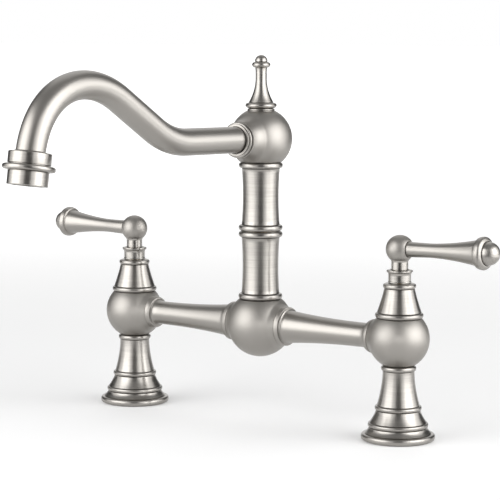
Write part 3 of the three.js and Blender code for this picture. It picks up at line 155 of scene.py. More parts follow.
# The floor's finish and the glow of its white strip, from behind the faucet to just before it.
FLOOR_SIZE = 90
FLOOR_LEVEL = -0.0001
FLOOR_ROUGHNESS = 0.9
FLOOR_SHEEN = 0.1
FLOOR_WHITE = 0.76
FLOOR_DIM = 0.06
GLOW_NEAR = 0.16
GLOW_FAR = 1.0
GLOW_FAR_AT = -2.2
GLOW_NEAR_AT = -0.1

# Where the strip ends: to the sides, by how much it widens per metre, and towards the camera.
STRIP_HALF = 0.5
STRIP_FADE = 1.0
STRIP_SPREAD = 0.17
FRONT_EDGE = 0.20
FRONT_FADE = 0.52

# Greys of the studio, and the edges of its overhead light and of its paper. Each edge is the
# share of a unit direction that points up, to the side or away from the camera.
WORLD_DIM = 0.07
WORLD_TOP = 0.36
OVERHEAD_EDGES = (0.35, 0.9)
PAPER_SIDE_EDGES = (0.2, 0.45)
PAPER_BACK_EDGES = (0.15, 0.5)

# Heights of a standing softbox's lower edge, of a screened one's, and of a lying softbox.
SOFTBOX_FOOT = 0.02
SCREENED_FOOT = 0.05
LYING_LEVEL = 0.01

# Bearings of the screens and the softboxes to each side, in degrees from the camera.
SCREEN_BEARING = 65
SOFTBOX_BEARING = 61


def make_world():
    """A dim studio, a little lighter overhead, with a white roll of paper that hangs behind the
    faucet, where the camera looks."""
    world = bpy.data.worlds.new("studio")
    bpy.context.scene.world = world
    world.use_nodes = True
    tree = world.node_tree
    tree.nodes.clear()
    direction = tree.nodes.new("ShaderNodeTexCoord").outputs["Generated"]
    overhead = ramp(tree, along(tree, direction, (0, 0, 1)), *OVERHEAD_EDGES, 0, 1)
    aside = maths(tree, "ABSOLUTE", along(tree, direction, TO_RIGHT))
    paper = maths(tree, "MULTIPLY", ramp(tree, aside, *PAPER_SIDE_EDGES, 1, 0),
                  ramp(tree, along(tree, direction, -TO_CAMERA), *PAPER_BACK_EDGES, 0, 1))
    studio = blended(tree, overhead, grey(WORLD_DIM), grey(WORLD_TOP))
    background = tree.nodes.new("ShaderNodeBackground")
    tree.links.new(blended(tree, paper, studio, grey(1.0)), background.inputs["Color"])
    output = tree.nodes.new("ShaderNodeOutputWorld")
    tree.links.new(background.outputs["Background"], output.inputs["Surface"])


def floor_material():
    """Pale matt floor. It is white in a strip that widens behind the faucet, as far as the picture
    shows it, and fades to grey towards the camera and to both sides."""
    material = bpy.data.materials.new("pale_floor")
    material.use_nodes = True
    tree = material.node_tree
    shader = tree.nodes["Principled BSDF"]
    place = tree.nodes.new("ShaderNodeTexCoord").outputs["Object"]
    ahead = along(tree, place, TO_CAMERA)
    aside = maths(tree, "ABSOLUTE", along(tree, place, TO_RIGHT))
    aside = maths(tree, "MULTIPLY_ADD", ahead, STRIP_SPREAD, aside)
    lit = maths(tree, "MULTIPLY", ramp(tree, aside, STRIP_HALF, STRIP_FADE, 1, 0),
                ramp(tree, ahead, FRONT_EDGE, FRONT_FADE, 1, 0))
    shade = blended(tree, lit, grey(FLOOR_DIM), grey(FLOOR_WHITE))
    tree.links.new(shade, shader.inputs["Base Color"])
    shader.inputs["Roughness"].default_value = FLOOR_ROUGHNESS
    shader.inputs["Specular IOR Level"].default_value = FLOOR_SHEEN
    rays = tree.nodes.new("ShaderNodeLightPath").outputs
    seen = maths(tree, "ADD", rays["Is Camera Ray"], rays["Is Glossy Ray"])
    seen = maths(tree, "ADD", seen, rays["Is Transmission Ray"], clamp=True)
    glow = maths(tree, "MULTIPLY", lit,
                 ramp(tree, ahead, GLOW_FAR_AT, GLOW_NEAR_AT, GLOW_FAR, GLOW_NEAR))
    shader.inputs["Emission Color"].default_value = (1, 1, 1, 1)
    tree.links.new(maths(tree, "MULTIPLY", seen, glow), shader.inputs["Emission Strength"])
    return material


def make_floor():
    """A floor so large that its edge is out of sight, a hair below the faucet's feet."""
    bpy.ops.object.select_all(action="DESELECT")
    bpy.ops.mesh.primitive_plane_add(size=FLOOR_SIZE, location=(0, 0, FLOOR_LEVEL))
    floor = bpy.context.object
    floor.name = "floor"
    floor.data.materials.append(floor_material())


def softbox(name, bearing, distance, width, tall, radiance, lying=False, foot=SOFTBOX_FOOT):
    """A large soft lamp that stands on the floor and faces the faucet, or lies on the floor and
    faces up. Its bearing is in degrees from the camera, positive to the camera's right."""
    angle = math.radians(bearing)
    place = (TO_CAMERA * math.cos(angle) + TO_RIGHT * math.sin(angle)) * distance
    facing = (-place).to_track_quat("-Z", "Y").to_euler()
    if lying:
        facing.x += QUARTER
    place.z = LYING_LEVEL if lying else tall / 2 + foot
    bpy.ops.object.light_add(type="AREA", location=place)
    lamp = bpy.context.object
    lamp.name = name
    lamp.data.shape = "RECTANGLE"
    lamp.data.size = width
    lamp.data.size_y = tall
    lamp.data.energy = radiance * math.pi * width * tall
    lamp.rotation_euler = facing
    lamp.visible_camera = False
    return lamp


def screened_softbox(name, pieces, bearing, distance, width, tall, radiance):
    """A low softbox that is screened from all but the named pieces."""
    lamp = softbox(name, bearing, distance, width, tall, radiance, foot=SCREENED_FOOT)
    lit = bpy.data.collections.new(f"lit_by_{name}")
    for piece in pieces:
        lit.objects.link(bpy.data.objects[piece])
    lamp.light_linking.receiver_collection = lit


def light_studio():
    """To each side a wide screen, a brighter softbox before it, and a low screen on the floor."""
    for name, side, wide, bright, low in (
        ("left", -1, 1.4, 2.15, 1.75),
        ("right", 1, 1.8, 2.3, 1.85),
    ):
        softbox(f"{name}_screen", side * SCREEN_BEARING,
                distance=1.3, width=2.85, tall=1.55, radiance=wide)
        softbox(f"{name}_softbox", side * SOFTBOX_BEARING,
                distance=1.1, width=1.0, tall=1.15, radiance=bright)
        softbox(f"{name}_low_screen", side * SOFTBOX_BEARING,
                distance=0.74, width=1.0, tall=0.7, radiance=low, lying=True)


def light_spout_and_balls():
    """Lights what would mirror only the dark of the studio: the spout's side and the fronts of
    the balls on the bridge."""
    screened_softbox("spout_softbox", ["spout_tube_swept"],
                     bearing=112, distance=1.4, width=1.0, tall=0.68, radiance=1.55)
    balls = ["mixing_tee_ball", "hot_valve_body_ball", "cold_valve_body_ball"]
    screened_softbox("ball_softbox", balls,
                     bearing=0, distance=1.0, width=0.5, tall=0.22, radiance=4.0)


make_world()
make_floor()
light_studio()

# ------------------------------------------------------------------ finishes

# Each finish mixes a light colour and a dark one. The turned pieces' brush lines show most.
NICKEL = (0.340, 0.324, 0.302, 1)
NICKEL_DARK = (0.332, 0.316, 0.295, 1)
NICKEL_BRIGHT = (0.388, 0.370, 0.345, 1)
NICKEL_LINES = (0.300, 0.286, 0.267, 1)
BRASS = (0.62, 0.44, 0.18, 1)
BRASS_DARK = (0.50, 0.34, 0.13, 1)

LINE_ROUGHNESS = 0.03
SCRATCH_SHARE = 0.65
MOTTLING_SHARE = 0.35
MOTTLING_SCALE = 55.0

# How far brushing draws the scratches out: their scale round the axis against along it. The
# shader takes the brushing's direction as a share of a full turn.
BRUSHED = 0.04
QUARTER_OF_TURN = 0.25


def make_grain_group():
    """The fine scratches and the soft mottling of a brushed or moulded surface."""
    group = bpy.data.node_groups.new("surface_grain", "ShaderNodeTree")
    for way, name, kind in (
        ("INPUT", "Lines", "Vector"),
        ("INPUT", "Place", "Vector"),
        ("INPUT", "Fineness", "Float"),
        ("INPUT", "Dark", "Color"),
        ("INPUT", "Light", "Color"),
        ("INPUT", "Smoothest", "Float"),
        ("INPUT", "Roughest", "Float"),
        ("OUTPUT", "Colour", "Color"),
        ("OUTPUT", "Roughness", "Float"),
        ("OUTPUT", "Height", "Float"),
    ):
        group.interface.new_socket(name=name, in_out=way, socket_type=f"NodeSocket{kind}")
    given = group.nodes.new("NodeGroupInput").outputs
    scratches = node(group, "ShaderNodeTexNoise", Detail=3.0, Roughness=0.65)
    group.links.new(given["Lines"], scratches.inputs["Vector"])
    group.links.new(given["Fineness"], scratches.inputs["Scale"])
    mottling = node(group, "ShaderNodeTexNoise", Scale=MOTTLING_SCALE, Detail=2.0)
    group.links.new(given["Place"], mottling.inputs["Vector"])
    share = maths(group, "MULTIPLY", scratches.outputs["Fac"], SCRATCH_SHARE)
    both = maths(group, "MULTIPLY_ADD", mottling.outputs["Fac"], MOTTLING_SHARE, share)
    spread = ramp(group, both, 0.3, 0.7, 0, 1)
    sent = group.nodes.new("NodeGroupOutput").inputs
    colour = blended(group, spread, given["Dark"], given["Light"])
    group.links.new(colour, sent["Colour"])
    rough = node(group, "ShaderNodeMapRange")
    group.links.new(spread, rough.inputs["Value"])
    group.links.new(given["Smoothest"], rough.inputs["To Min"])
    group.links.new(given["Roughest"], rough.inputs["To Max"])
    group.links.new(rough.outputs["Result"], sent["Roughness"])
    group.links.new(scratches.outputs["Fac"], sent["Height"])
    return group


surface_grain = make_grain_group()


def finish(name, light, dark, smoothest, roughest, fineness, relief, metal=1.0,
           stretch=(1, 1, 1), anisotropy=0.0, brushed_about=None):
    """A procedural finish. Stretch is how the scratches lie along X, Y and Z: a small number
    draws them out. Relief is their depth in mm."""
    material = bpy.data.materials.new(name)
    material.use_nodes = True
    tree = material.node_tree
    shader = tree.nodes["Principled BSDF"]
    shader.inputs["Metallic"].default_value = metal
    place = tree.nodes.new("ShaderNodeTexCoord").outputs["Object"]
    grain = tree.nodes.new("ShaderNodeGroup")
    grain.node_tree = surface_grain
    tree.links.new(scaled(tree, place, stretch), grain.inputs["Lines"])
    tree.links.new(place, grain.inputs["Place"])
    for socket, value in (
        ("Fineness", fineness),
        ("Light", light),
        ("Dark", dark),
        ("Smoothest", smoothest),
        ("Roughest", roughest),
    ):
        grain.inputs[socket].default_value = value
    tree.links.new(grain.outputs["Colour"], shader.inputs["Base Color"])
    tree.links.new(grain.outputs["Roughness"], shader.inputs["Roughness"])
    bump = tree.nodes.new("ShaderNodeBump")
    bump.inputs["Distance"].default_value = relief * MM
    tree.links.new(grain.outputs["Height"], bump.inputs["Height"])
    tree.links.new(bump.outputs["Normal"], shader.inputs["Normal"])
    if brushed_about:
        shader.inputs["Anisotropic"].default_value = anisotropy
        shader.inputs["Anisotropic Rotation"].default_value = QUARTER_OF_TURN
        around = tree.nodes.new("ShaderNodeTangent")
        around.direction_type = "RADIAL"
        around.axis = brushed_about
        tree.links.new(around.outputs["Tangent"], shader.inputs["Tangent"])
    return material


def turned_nickel(name, axis, roughness=0.29, anisotropy=0.5):
    """Nickel brushed round the axis that the piece was turned about."""
    stretch = [1 if letter == axis else BRUSHED for letter in "XYZ"]
    return finish(name, NICKEL_BRIGHT, NICKEL_LINES, roughness, roughness + LINE_ROUGHNESS,
                  fineness=1500, relief=0.0004, stretch=stretch, anisotropy=anisotropy,
                  brushed_about=axis)


nickel_upright = turned_nickel("nickel_turned_upright", "Z")
nickel_fine = turned_nickel("nickel_turned_fine", "Z", roughness=0.19, anisotropy=0.3)
nickel_across = turned_nickel("nickel_turned_across", "X")
nickel_satin = finish("nickel_satin", NICKEL, NICKEL_DARK, 0.43, 0.47, fineness=2600, relief=0.001)
nickel_drawn = finish("nickel_drawn", NICKEL, NICKEL_DARK, 0.34, 0.37, fineness=2600,
                      relief=0.0006)
slot_finishes = {
    "satin_nickel": nickel_satin,
    "brass": finish("machined_brass", BRASS, BRASS_DARK, 0.25, 0.4, fineness=2500, relief=0.01,
                    stretch=(0.05, 0.05, 1)),
    "rubber": finish("black_rubber", grey(0.035), grey(0.02), 0.6, 0.8, fineness=900, relief=0.02,
                     metal=0.0),
    "ceramic": finish("white_ceramic", grey(0.8, 0.02), grey(0.76, 0.02), 0.12, 0.2, fineness=700,
                      relief=0.002, metal=0.0),
    "acetal": finish("white_acetal", grey(0.72), grey(0.66), 0.4, 0.5, fineness=900, relief=0.01,
                     metal=0.0),
    "steel": finish("stainless_steel", grey(0.45), grey(0.38), 0.28, 0.4, fineness=2500,
                    relief=0.006, stretch=(1, 0.05, 1)),
}

# ------------------------------------------------------------------ turned outlines

# An outline is a list of (radius, height) points in mm. It starts and ends on the axis, or goes
# round a hollow piece and is closed by turned().


def bead(root, radius, bottom, width, fullness=2.3, steps=12):
    """A rounded ring that stands out of the surface."""
    points = []
    for i in range(steps + 1):
        across = -math.cos(math.pi * i / steps)
        swell = max(0.0, 1 - abs(across) ** fullness) ** (1 / fullness)
        points.append((root + (radius - root) * swell, bottom + width * (1 + across) / 2))
    return points


def crease(radius, height, depth=0.35, width=0.3):
    """A narrow V groove."""
    return [(radius, height - width / 2), (radius - depth, height), (radius, height + width / 2)]


def cove(start, end, power, steps=14):
    """A hollow curve from one point to another, steepest at its start."""
    points = []
    for i in range(steps + 1):
        t = i / steps
        radius = end[0] + (start[0] - end[0]) * (1 - t) ** power
        points.append((radius, start[1] + (end[1] - start[1]) * t))
    return points


def arc(radius, centre, start, end, steps):
    """Part of a ball's outline, between two angles in degrees above its equator. A start at the
    pole lies exactly on the axis."""
    points = []
    for i in range(steps + 1):
        angle = math.radians(start + (end - start) * i / steps)
        points.append((radius * math.cos(angle), centre + radius * math.sin(angle)))
    if start == -90:
        points[0] = (0, points[0][1])
    return points


def dome(radius, foot, rise, steps):
    """A rounded end, from its foot to one step below its pole."""
    points = []
    for i in range(steps):
        angle = QUARTER * i / steps
        points.append((radius * math.cos(angle), foot + rise * math.sin(angle)))
    return points


def corner(inner, outer, turns=5):
    """A quarter round from one point to another that starts along the radius."""
    (r0, h0), (r1, h1) = inner, outer
    points = []
    for i in range(turns + 1):
        angle = QUARTER * i / turns
        points.append((r0 + (r1 - r0) * math.sin(angle), h0 + (h1 - h0) * (1 - math.cos(angle))))
    return points


def lifted(outline, height):
    """An outline moved up."""
    return [(radius, foot + height) for radius, foot in outline]


def ball_angle(ball_radius, radius):
    """The angle above the equator, in degrees, at which a ball has the given radius."""
    return math.degrees(math.acos(radius / ball_radius))


def ball_rise(ball_radius, radius):
    """How far above its centre a ball has the given radius."""
    return math.sqrt(ball_radius**2 - radius**2)


# ------------------------------------------------------------------ making pieces

# Sides of a turned piece, of a hidden chamber and of a screw hole.
SIDES = 96
FEW_SIDES = 32
HOLE_SIDES = 24

# Edges flatter than this angle are shaded smooth. Points nearer than the weld, in metres, merge.
SMOOTH_BELOW = math.radians(32)
WELD = 2e-6


def only(piece):
    """Makes one object the only selected and the active one."""
    bpy.ops.object.select_all(action="DESELECT")
    piece.select_set(True)
    bpy.context.view_layer.objects.active = piece


def turned(name, outline, turn=(0, 0, 0), place=(0, 0, 0), sides=SIDES):
    """Draws an outline by extruding a point, spins it about +Z and puts the piece in its place."""
    bpy.ops.object.select_all(action="DESELECT")
    on_axis = outline[0][0] == 0 and outline[-1][0] == 0
    points = list(outline) if on_axis else list(outline) + [outline[0]]
    radius, height = points[0]
    bpy.ops.mesh.primitive_circle_add(vertices=3, radius=MM,
                                      location=(radius * MM, 0, height * MM))
    piece = bpy.context.object
    piece.name = name
    bpy.ops.object.transform_apply(location=True, rotation=True, scale=True)
    bpy.ops.object.mode_set(mode="EDIT")
    bpy.ops.mesh.merge(type="CENTER")
    for (r0, h0), (r1, h1) in zip(points, points[1:]):
        step = ((r1 - r0) * MM, 0, (h1 - h0) * MM)
        bpy.ops.mesh.extrude_vertices_move(TRANSFORM_OT_translate={"value": step})
    bpy.ops.mesh.select_all(action="SELECT")
    bpy.ops.mesh.remove_doubles(threshold=WELD)
    bpy.ops.mesh.select_all(action="SELECT")
    bpy.ops.mesh.spin(steps=sides, angle=math.tau, center=(0, 0, 0), axis=(0, 0, 1))
    bpy.ops.mesh.select_all(action="SELECT")
    bpy.ops.mesh.remove_doubles(threshold=WELD)
    bpy.ops.mesh.normals_make_consistent(inside=False)
    bpy.ops.object.mode_set(mode="OBJECT")
    settle(piece, turn, place)
    return piece


def settle(piece, turn=(0, 0, 0), place=(0, 0, 0)):
    """Puts a piece in its place and leaves its object at the origin."""
    only(piece)
    piece.rotation_euler = turn
    piece.location = [value * MM for value in place]
    bpy.ops.object.transform_apply(location=True, rotation=True, scale=True)


def cut_flat(piece, height, keep_above):
    """Cuts a piece off at a height and closes it."""
    only(piece)
    bpy.ops.object.mode_set(mode="EDIT")
    bpy.ops.mesh.select_all(action="SELECT")
    bpy.ops.mesh.bisect(plane_co=(0, 0, height * MM), plane_no=(0, 0, 1), use_fill=True,
                        clear_inner=keep_above, clear_outer=not keep_above)
    bpy.ops.object.mode_set(mode="OBJECT")


def hollow_out(piece, cutter):
    """Cuts one piece out of another."""
    only(piece)
    cut = piece.modifiers.new("cut", "BOOLEAN")
    cut.operation = "DIFFERENCE"
    cut.solver = "EXACT"
    cut.object = cutter
    bpy.ops.object.modifier_apply(modifier=cut.name)
    bpy.data.objects.remove(cutter)


def joined(name, pieces):
    """Makes several shells one piece."""
    only(pieces[0])
    for piece in pieces[1:]:
        piece.select_set(True)
    bpy.ops.object.join()
    pieces[0].name = name
    return pieces[0]


def drill(start, end, height, x=0.0):
    """A bar along Y that cuts a screw hole."""
    middle = (x * MM, (start + end) / 2 * MM, height * MM)
    bpy.ops.object.select_all(action="DESELECT")
    bpy.ops.mesh.primitive_cylinder_add(vertices=HOLE_SIDES, radius=SCREW_HOLE * MM,
                                        depth=(end - start) * MM, location=middle,
                                        rotation=(QUARTER, 0, 0))
    bpy.ops.object.transform_apply(location=True, rotation=True, scale=True)
    return bpy.context.object


def dress(piece, material, nodes, body):
    """Gives a piece its finish and body, and hides the CAD nodes that it stands for. Without a
    material it keeps what it has.
    """
    only(piece)
    bpy.ops.object.shade_smooth_by_angle(angle=SMOOTH_BELOW)
    if material:
        piece.data.materials.clear()
        piece.data.materials.append(material)
    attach(piece, body)
    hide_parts(*nodes)


def other_side(piece, name):
    """A mirrored copy of a hot side's piece for the cold side."""
    only(piece)
    bpy.ops.object.duplicate(linked=False)
    twin = bpy.context.object
    twin.name = name
    twin.scale.x = -1
    settle(twin)
    bpy.ops.object.mode_set(mode="EDIT")
    bpy.ops.mesh.select_all(action="SELECT")
    bpy.ops.mesh.normals_make_consistent(inside=False)
    bpy.ops.object.mode_set(mode="OBJECT")
    return twin


def level(name, end, axis="z"):
    """The lowest (0) or highest (1) place of a CAD node along an axis, in mm."""
    return getattr(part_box(name)[end], axis) / MM


# ------------------------------------------------------------------ sizes that the pieces share

# The posts stand this far from the column's axis, and the bridge's axis this high on the deck.
POST = 101.6
BRIDGE_LEVEL = 60.3
SEAT_GAP = 0.3
SCREW_HOLE = 1.8

# Radii of the balls and of what meets them, and how far each boss stands out of its ball.
BODY_BALL = 18.16
BODY_BOSS_ROOT = 10.4
BODY_BOSS = 5.0
TEE_BALL = 20.3
TEE_BOSS_ROOT = 12.0
TEE_BOSS = 5.1
HEAD_BALL = 19.2
HEAD_SEAT = 13.1
FINIAL_SEAT = 8.8
HUB_BALL = 8.34
NECK = 5.0
LEVER_SEAT = 4.8

# The middle of the hub's ball above its nut, and how far the levers climb towards their ends.
HUB_RISE = 12.0
LEVER_TILT = math.radians(1.2)

# Levels that the CAD solids set, and those that follow from them.
pedestal_top = level("hot_pedestal", 1)
body_foot = level("hot_valve_body", 0)
bonnet_foot = level("hot_bonnet", 0)
bonnet_top = level("hot_bonnet", 1)
nut_foot = level("hot_bonnet_nut", 0)
nut_top = level("hot_bonnet_nut", 1)
hub_foot = level("hot_handle_hub", 0)
hub_centre = nut_top + HUB_RISE
tee_top = level("mixing_tee", 1)
lower_riser_foot = level("lower_riser", 0)
lower_riser_top = level("lower_riser", 1)
upper_riser_foot = level("upper_riser", 0)
upper_riser_top = level("upper_riser", 1)
head_foot = upper_riser_top + SEAT_GAP
head_centre = head_foot + ball_rise(HEAD_BALL, HEAD_SEAT)
head_crown = head_centre + ball_rise(HEAD_BALL, FINIAL_SEAT)
body_boss_end = ball_rise(BODY_BALL, BODY_BOSS_ROOT) + BODY_BOSS
tee_boss_end = ball_rise(TEE_BALL, TEE_BOSS_ROOT) + TEE_BOSS

# Turns that lay a turned piece's axis along another direction, and places where pieces go.
ALONG_X = (0, QUARTER, 0)
ALONG_MINUS_X = (0, -QUARTER, 0)
ALONG_MINUS_Y = (QUARTER, 0, 0)
ALONG_LEVER = (0, -(QUARTER - LEVER_TILT), 0)
ON_POST = (-POST, 0, 0)
ON_HUB = (-POST, 0, hub_centre)
ON_BRIDGE = (0, 0, BRIDGE_LEVEL)
IN_HEAD = (0, 0, head_centre)


# ------------------------------------------------------------------ posts


def make_pedestal():
    """The stepped foot, hollow, with a recess for its gasket."""
    outside = [
        *bead(20.1, 21.95, 0.2, 3.9, fullness=2.6),
        *crease(19.7, 4.3, 0.4, 0.3),
        *cove((19.75, 4.55), (17.35, 7.55), 1.6),
        *crease(17.2, 7.75, 0.45, 0.3),
        *bead(17.1, 17.9, 7.95, 2.5),
        *crease(16.7, 10.6, 0.5, 0.3),
        *cove((16.75, 10.8), (13.2, 17.7), 1.3),
        *crease(13.1, 17.9, 0.45, 0.3),
        *bead(13.0, 13.9, 18.1, 2.5),
        *crease(12.5, 20.75, 0.5, 0.3),
        *cove((12.6, 20.95), (9.4, 41.1), 1.8, steps=22),
        *crease(9.4, 41.35, 0.4, 0.3),
        *bead(9.5, 10.4, 41.55, 2.7),
        (9.2, pedestal_top),
    ]
    inside = [
        (7.4, pedestal_top),
        (7.4, 22.3),
        (9.5, 22.3),
        (11.0, 18.0),
        (14.9, 8.0),
        (14.9, 1.6),
        (18.0, 1.6),
        (18.0, 0.0),
        (20.2, 0.0),
    ]
    return turned("hot_pedestal_turned", outside + inside, place=ON_POST)


def make_valve_body():
    """A ball with a boss towards the bridge, flat where the pedestal and the bonnet meet it."""
    outline = [
        *arc(BODY_BALL, 0, -90, ball_angle(BODY_BALL, 12.4), steps=44),
        (11.5, 14.6),
        (10.75, 15.9),
        *crease(10.3, 16.75, 0.4, 0.35),
        (10.3, 17.1),
        (10.0, 18.4),
        (9.6, body_boss_end - 0.45),
        (9.4, body_boss_end - 0.1),
        (9.2, body_boss_end),
        (0, body_boss_end),
    ]
    body = turned("hot_valve_body_ball", outline, turn=ALONG_X, place=(-POST, 0, BRIDGE_LEVEL))
    shoulder = bonnet_foot - SEAT_GAP
    cut_flat(body, shoulder, keep_above=False)
    cut_flat(body, body_foot, keep_above=True)
    floor, top = body_foot + 8.6, shoulder + 2
    chamber = [(0, floor), (7.5, floor), (7.5, top), (0, top)]
    hollow_out(body, turned("chamber", chamber, place=ON_POST, sides=FEW_SIDES))
    return body


def make_bonnet():
    """The bell over the cartridge, with a bead at its foot and one at its top."""
    top = bonnet_top - bonnet_foot
    outside = [
        (12.9, 0.0),
        *bead(13.1, 14.26, 0.15, 2.9),
        *crease(12.9, 3.25, 0.45, 0.3),
        *cove((13.1, 3.45), (9.1, top - 3.5), 1.2, steps=18),
        *crease(9.1, top - 3.3, 0.35, 0.3),
        *bead(8.9, 9.75, top - 3.1, 2.6),
        (8.7, top - 0.35),
        (7.3, top),
    ]
    inside = [
        (5.4, top),
        (5.4, top - 1.8),
        (7.3, top - 1.8),
        (7.3, top - 3.0),
        (11.2, 3.0),
        (11.2, 0.0),
    ]
    return turned("hot_bonnet_bell", lifted(outside + inside, bonnet_foot), place=ON_POST)


def make_bonnet_nut():
    """The small collar under the handle, with a lip at its top."""
    top = nut_top - nut_foot
    outside = [
        (6.9, 0.0),
        (6.9, 0.5),
        (6.7, 0.8),
        (6.7, 4.4),
        *cove((6.72, 4.6), (7.3, 5.9), 0.6, steps=5),
        *bead(7.2, 7.8, 6.0, 1.35, steps=8),
        (6.9, top - 0.2),
        (6.2, top),
    ]
    inside = [(5.42, top - 0.3), (5.42, 0.0)]
    return turned("hot_bonnet_nut_lipped", lifted(outside + inside, nut_foot), place=ON_POST)


def make_hub():
    """A ball with a flat seat for the lever, on a round neck that goes down into the nut."""
    seat = ball_rise(HUB_BALL, LEVER_SEAT)
    outline = [
        *arc(HUB_BALL, 0, -90, ball_angle(HUB_BALL, LEVER_SEAT + 0.4), steps=40),
        (LEVER_SEAT, seat - 0.35),
        (LEVER_SEAT, seat - 1.3),
        (0, seat - 1.3),
    ]
    ball = turned("hub_ball", outline, turn=ALONG_LEVER, place=ON_HUB)
    hollow_out(ball, drill(2.0, HUB_BALL + 1, hub_centre - 3.5, -POST))
    ball_foot = hub_centre - ball_rise(HUB_BALL, NECK)
    neck_outline = [
        (0, hub_foot),
        (NECK, hub_foot),
        (NECK, ball_foot - 0.9),
        (NECK, ball_foot - 0.6),
        (5.25, ball_foot - 0.2),
        (5.35, ball_foot + 0.3),
        (0, ball_foot + 1.2),
    ]
    neck = turned("hub_neck", neck_outline, place=ON_POST)
    ball.data.materials.append(nickel_satin)
    neck.data.materials.append(nickel_fine)
    return joined("hot_handle_hub_ball", [ball, neck])


def make_lever():
    """The trumpet, with heights of its outline as distances from the middle of the hub's ball."""
    outline = [
        (0, 4.9),
        (4.4, 4.9),
        (4.5, 6.3),
        *cove((7.75, 53.2), (4.2, 20.0), 1.8, steps=28)[::-1],
        (7.9, 53.5),
        (8.15, 53.7),
        (8.95, 53.85),
        (9.15, 54.05),
        (9.32, 54.5),
        (9.48, 55.2),
        (9.6, 55.9),
        (9.65, 56.6),
        (9.6, 57.1),
        (9.42, 57.55),
        (9.1, 57.95),
        (8.6, 58.35),
        (8.0, 58.7),
        (7.5, 58.9),
        (7.25, 58.9),
        (7.1, 58.7),
        (7.0, 58.2),
        (0, 57.6),
    ]
    return turned("hot_lever_flared", outline, turn=ALONG_LEVER, place=ON_HUB)


def make_knob():
    """The button in the lever's end, measured from the hub's ball as the lever is."""
    outline = [
        (0, 57.8),
        (6.8, 57.8),
        (6.85, 58.2),
        *dome(6.85, 59.43, 6.86, steps=16),
        (0, 66.29),
    ]
    return turned("hot_lever_button", outline, turn=ALONG_LEVER, place=ON_HUB)


def make_arm():
    """The tapered arm, with heights of its outline as distances from the column's axis."""
    start = level("mixing_tee", 1, "x") + SEAT_GAP
    end = POST - body_boss_end - SEAT_GAP
    outline = [
        (0, start - 2),
        (6.6, start - 2),
        (6.6, start),
        (11.0, start),
        (11.08, start + 0.1),
        (11.0, start + 0.35),
        (10.5, start + 0.55),
        (10.2, start + 0.8),
        *cove((10.0, start + 1.1), (7.3, end - 4.0), 2.2, steps=30),
        (7.4, end - 2.6),
        (7.65, end - 1.4),
        (7.95, end - 0.6),
        (8.3, end - 0.15),
        (8.5, end),
        (5.0, end),
        (5.0, end + 2),
        (0, end + 2),
    ]
    return turned("hot_bridge_arm_tapered", outline, turn=ALONG_MINUS_X, place=ON_BRIDGE)


def dress_post():
    """Makes each piece of the hot side, mirrors it for the cold side and dresses both."""
    pieces = (
        (make_pedestal, "pedestal", "pedestal_turned", "root", nickel_upright),
        (make_valve_body, "valve_body", "valve_body_ball", "root", nickel_satin),
        (make_bonnet, "bonnet", "bonnet_bell", "root", nickel_upright),
        (make_bonnet_nut, "bonnet_nut", "bonnet_nut_lipped", "root", nickel_fine),
        (make_hub, "handle_hub", "handle_hub_ball", "handle", None),
        (make_lever, "lever", "lever_flared", "handle", nickel_drawn),
        (make_knob, "lever_knob", "lever_button", "handle", nickel_across),
        (make_arm, "bridge_arm", "bridge_arm_tapered", "root", nickel_drawn),
    )
    for make, cad_node, title, body, material in pieces:
        hot = make()
        cold = other_side(hot, f"cold_{title}")
        for side, piece in (("hot", hot), ("cold", cold)):
            rides = "root" if body == "root" else f"{side}_handle"
            dress(piece, material, [f"{side}_{cad_node}"], rides)


# ------------------------------------------------------------------ column


def make_tee():
    """A ball with a stepped boss to each side, flat on top where the column stands."""
    angle = ball_angle(TEE_BALL, 13.6)
    boss = [
        (12.95, 16.2),
        (12.35, 17.4),
        *crease(12.0, 18.4, 0.45, 0.4),
        (11.98, 18.8),
        (11.9, tee_boss_end - 0.35),
        (11.75, tee_boss_end - 0.08),
        (11.5, tee_boss_end),
        (0, tee_boss_end),
    ]
    half = [(radius, -height) for radius, height in reversed(boss)]
    outline = [*half, *arc(TEE_BALL, 0, -angle, angle, steps=44), *boss]
    tee = turned("mixing_tee_ball", outline, turn=ALONG_X, place=ON_BRIDGE)
    cut_flat(tee, tee_top, keep_above=False)
    return tee


def riser_outside(height):
    """A ring at each end, a crease inside each ring, and a slight waist between them."""
    steps = 16
    waist, swell, ring = 11.05, 0.65, 4.1
    wall = []
    for i in range(steps + 1):
        t = i / steps
        wall.append((waist + swell * (2 * t - 1) ** 2, ring + (height - 2 * ring) * t))
    return [
        (12.2, 0.0),
        *bead(12.4, 13.55, 0.25, 3.2),
        *crease(11.8, 3.75, 0.5, 0.35),
        *wall,
        *crease(11.8, height - 3.75, 0.5, 0.35),
        *bead(12.4, 13.55, height - 3.45, 3.2),
        (12.2, height),
    ]


def make_lower_riser():
    """The fixed half of the column, a plain tube inside."""
    height = lower_riser_top - lower_riser_foot
    outline = [*riser_outside(height), (9.8, height), (9.8, 0.0)]
    return turned("lower_riser_turned", lifted(outline, lower_riser_foot))


def make_upper_riser():
    """The turning half of the column, with a step for the slip washer and a screw hole behind."""
    height = upper_riser_top - upper_riser_foot
    outline = [*riser_outside(height), (8.5, height), (8.5, 1.4), (11.3, 1.4), (11.3, 0.0)]
    riser = turned("upper_riser_turned", lifted(outline, upper_riser_foot))
    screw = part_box("swivel_screw")
    hollow_out(riser, drill(9.5, 15.0, (screw[0].z + screw[1].z) / 2 / MM))
    return riser


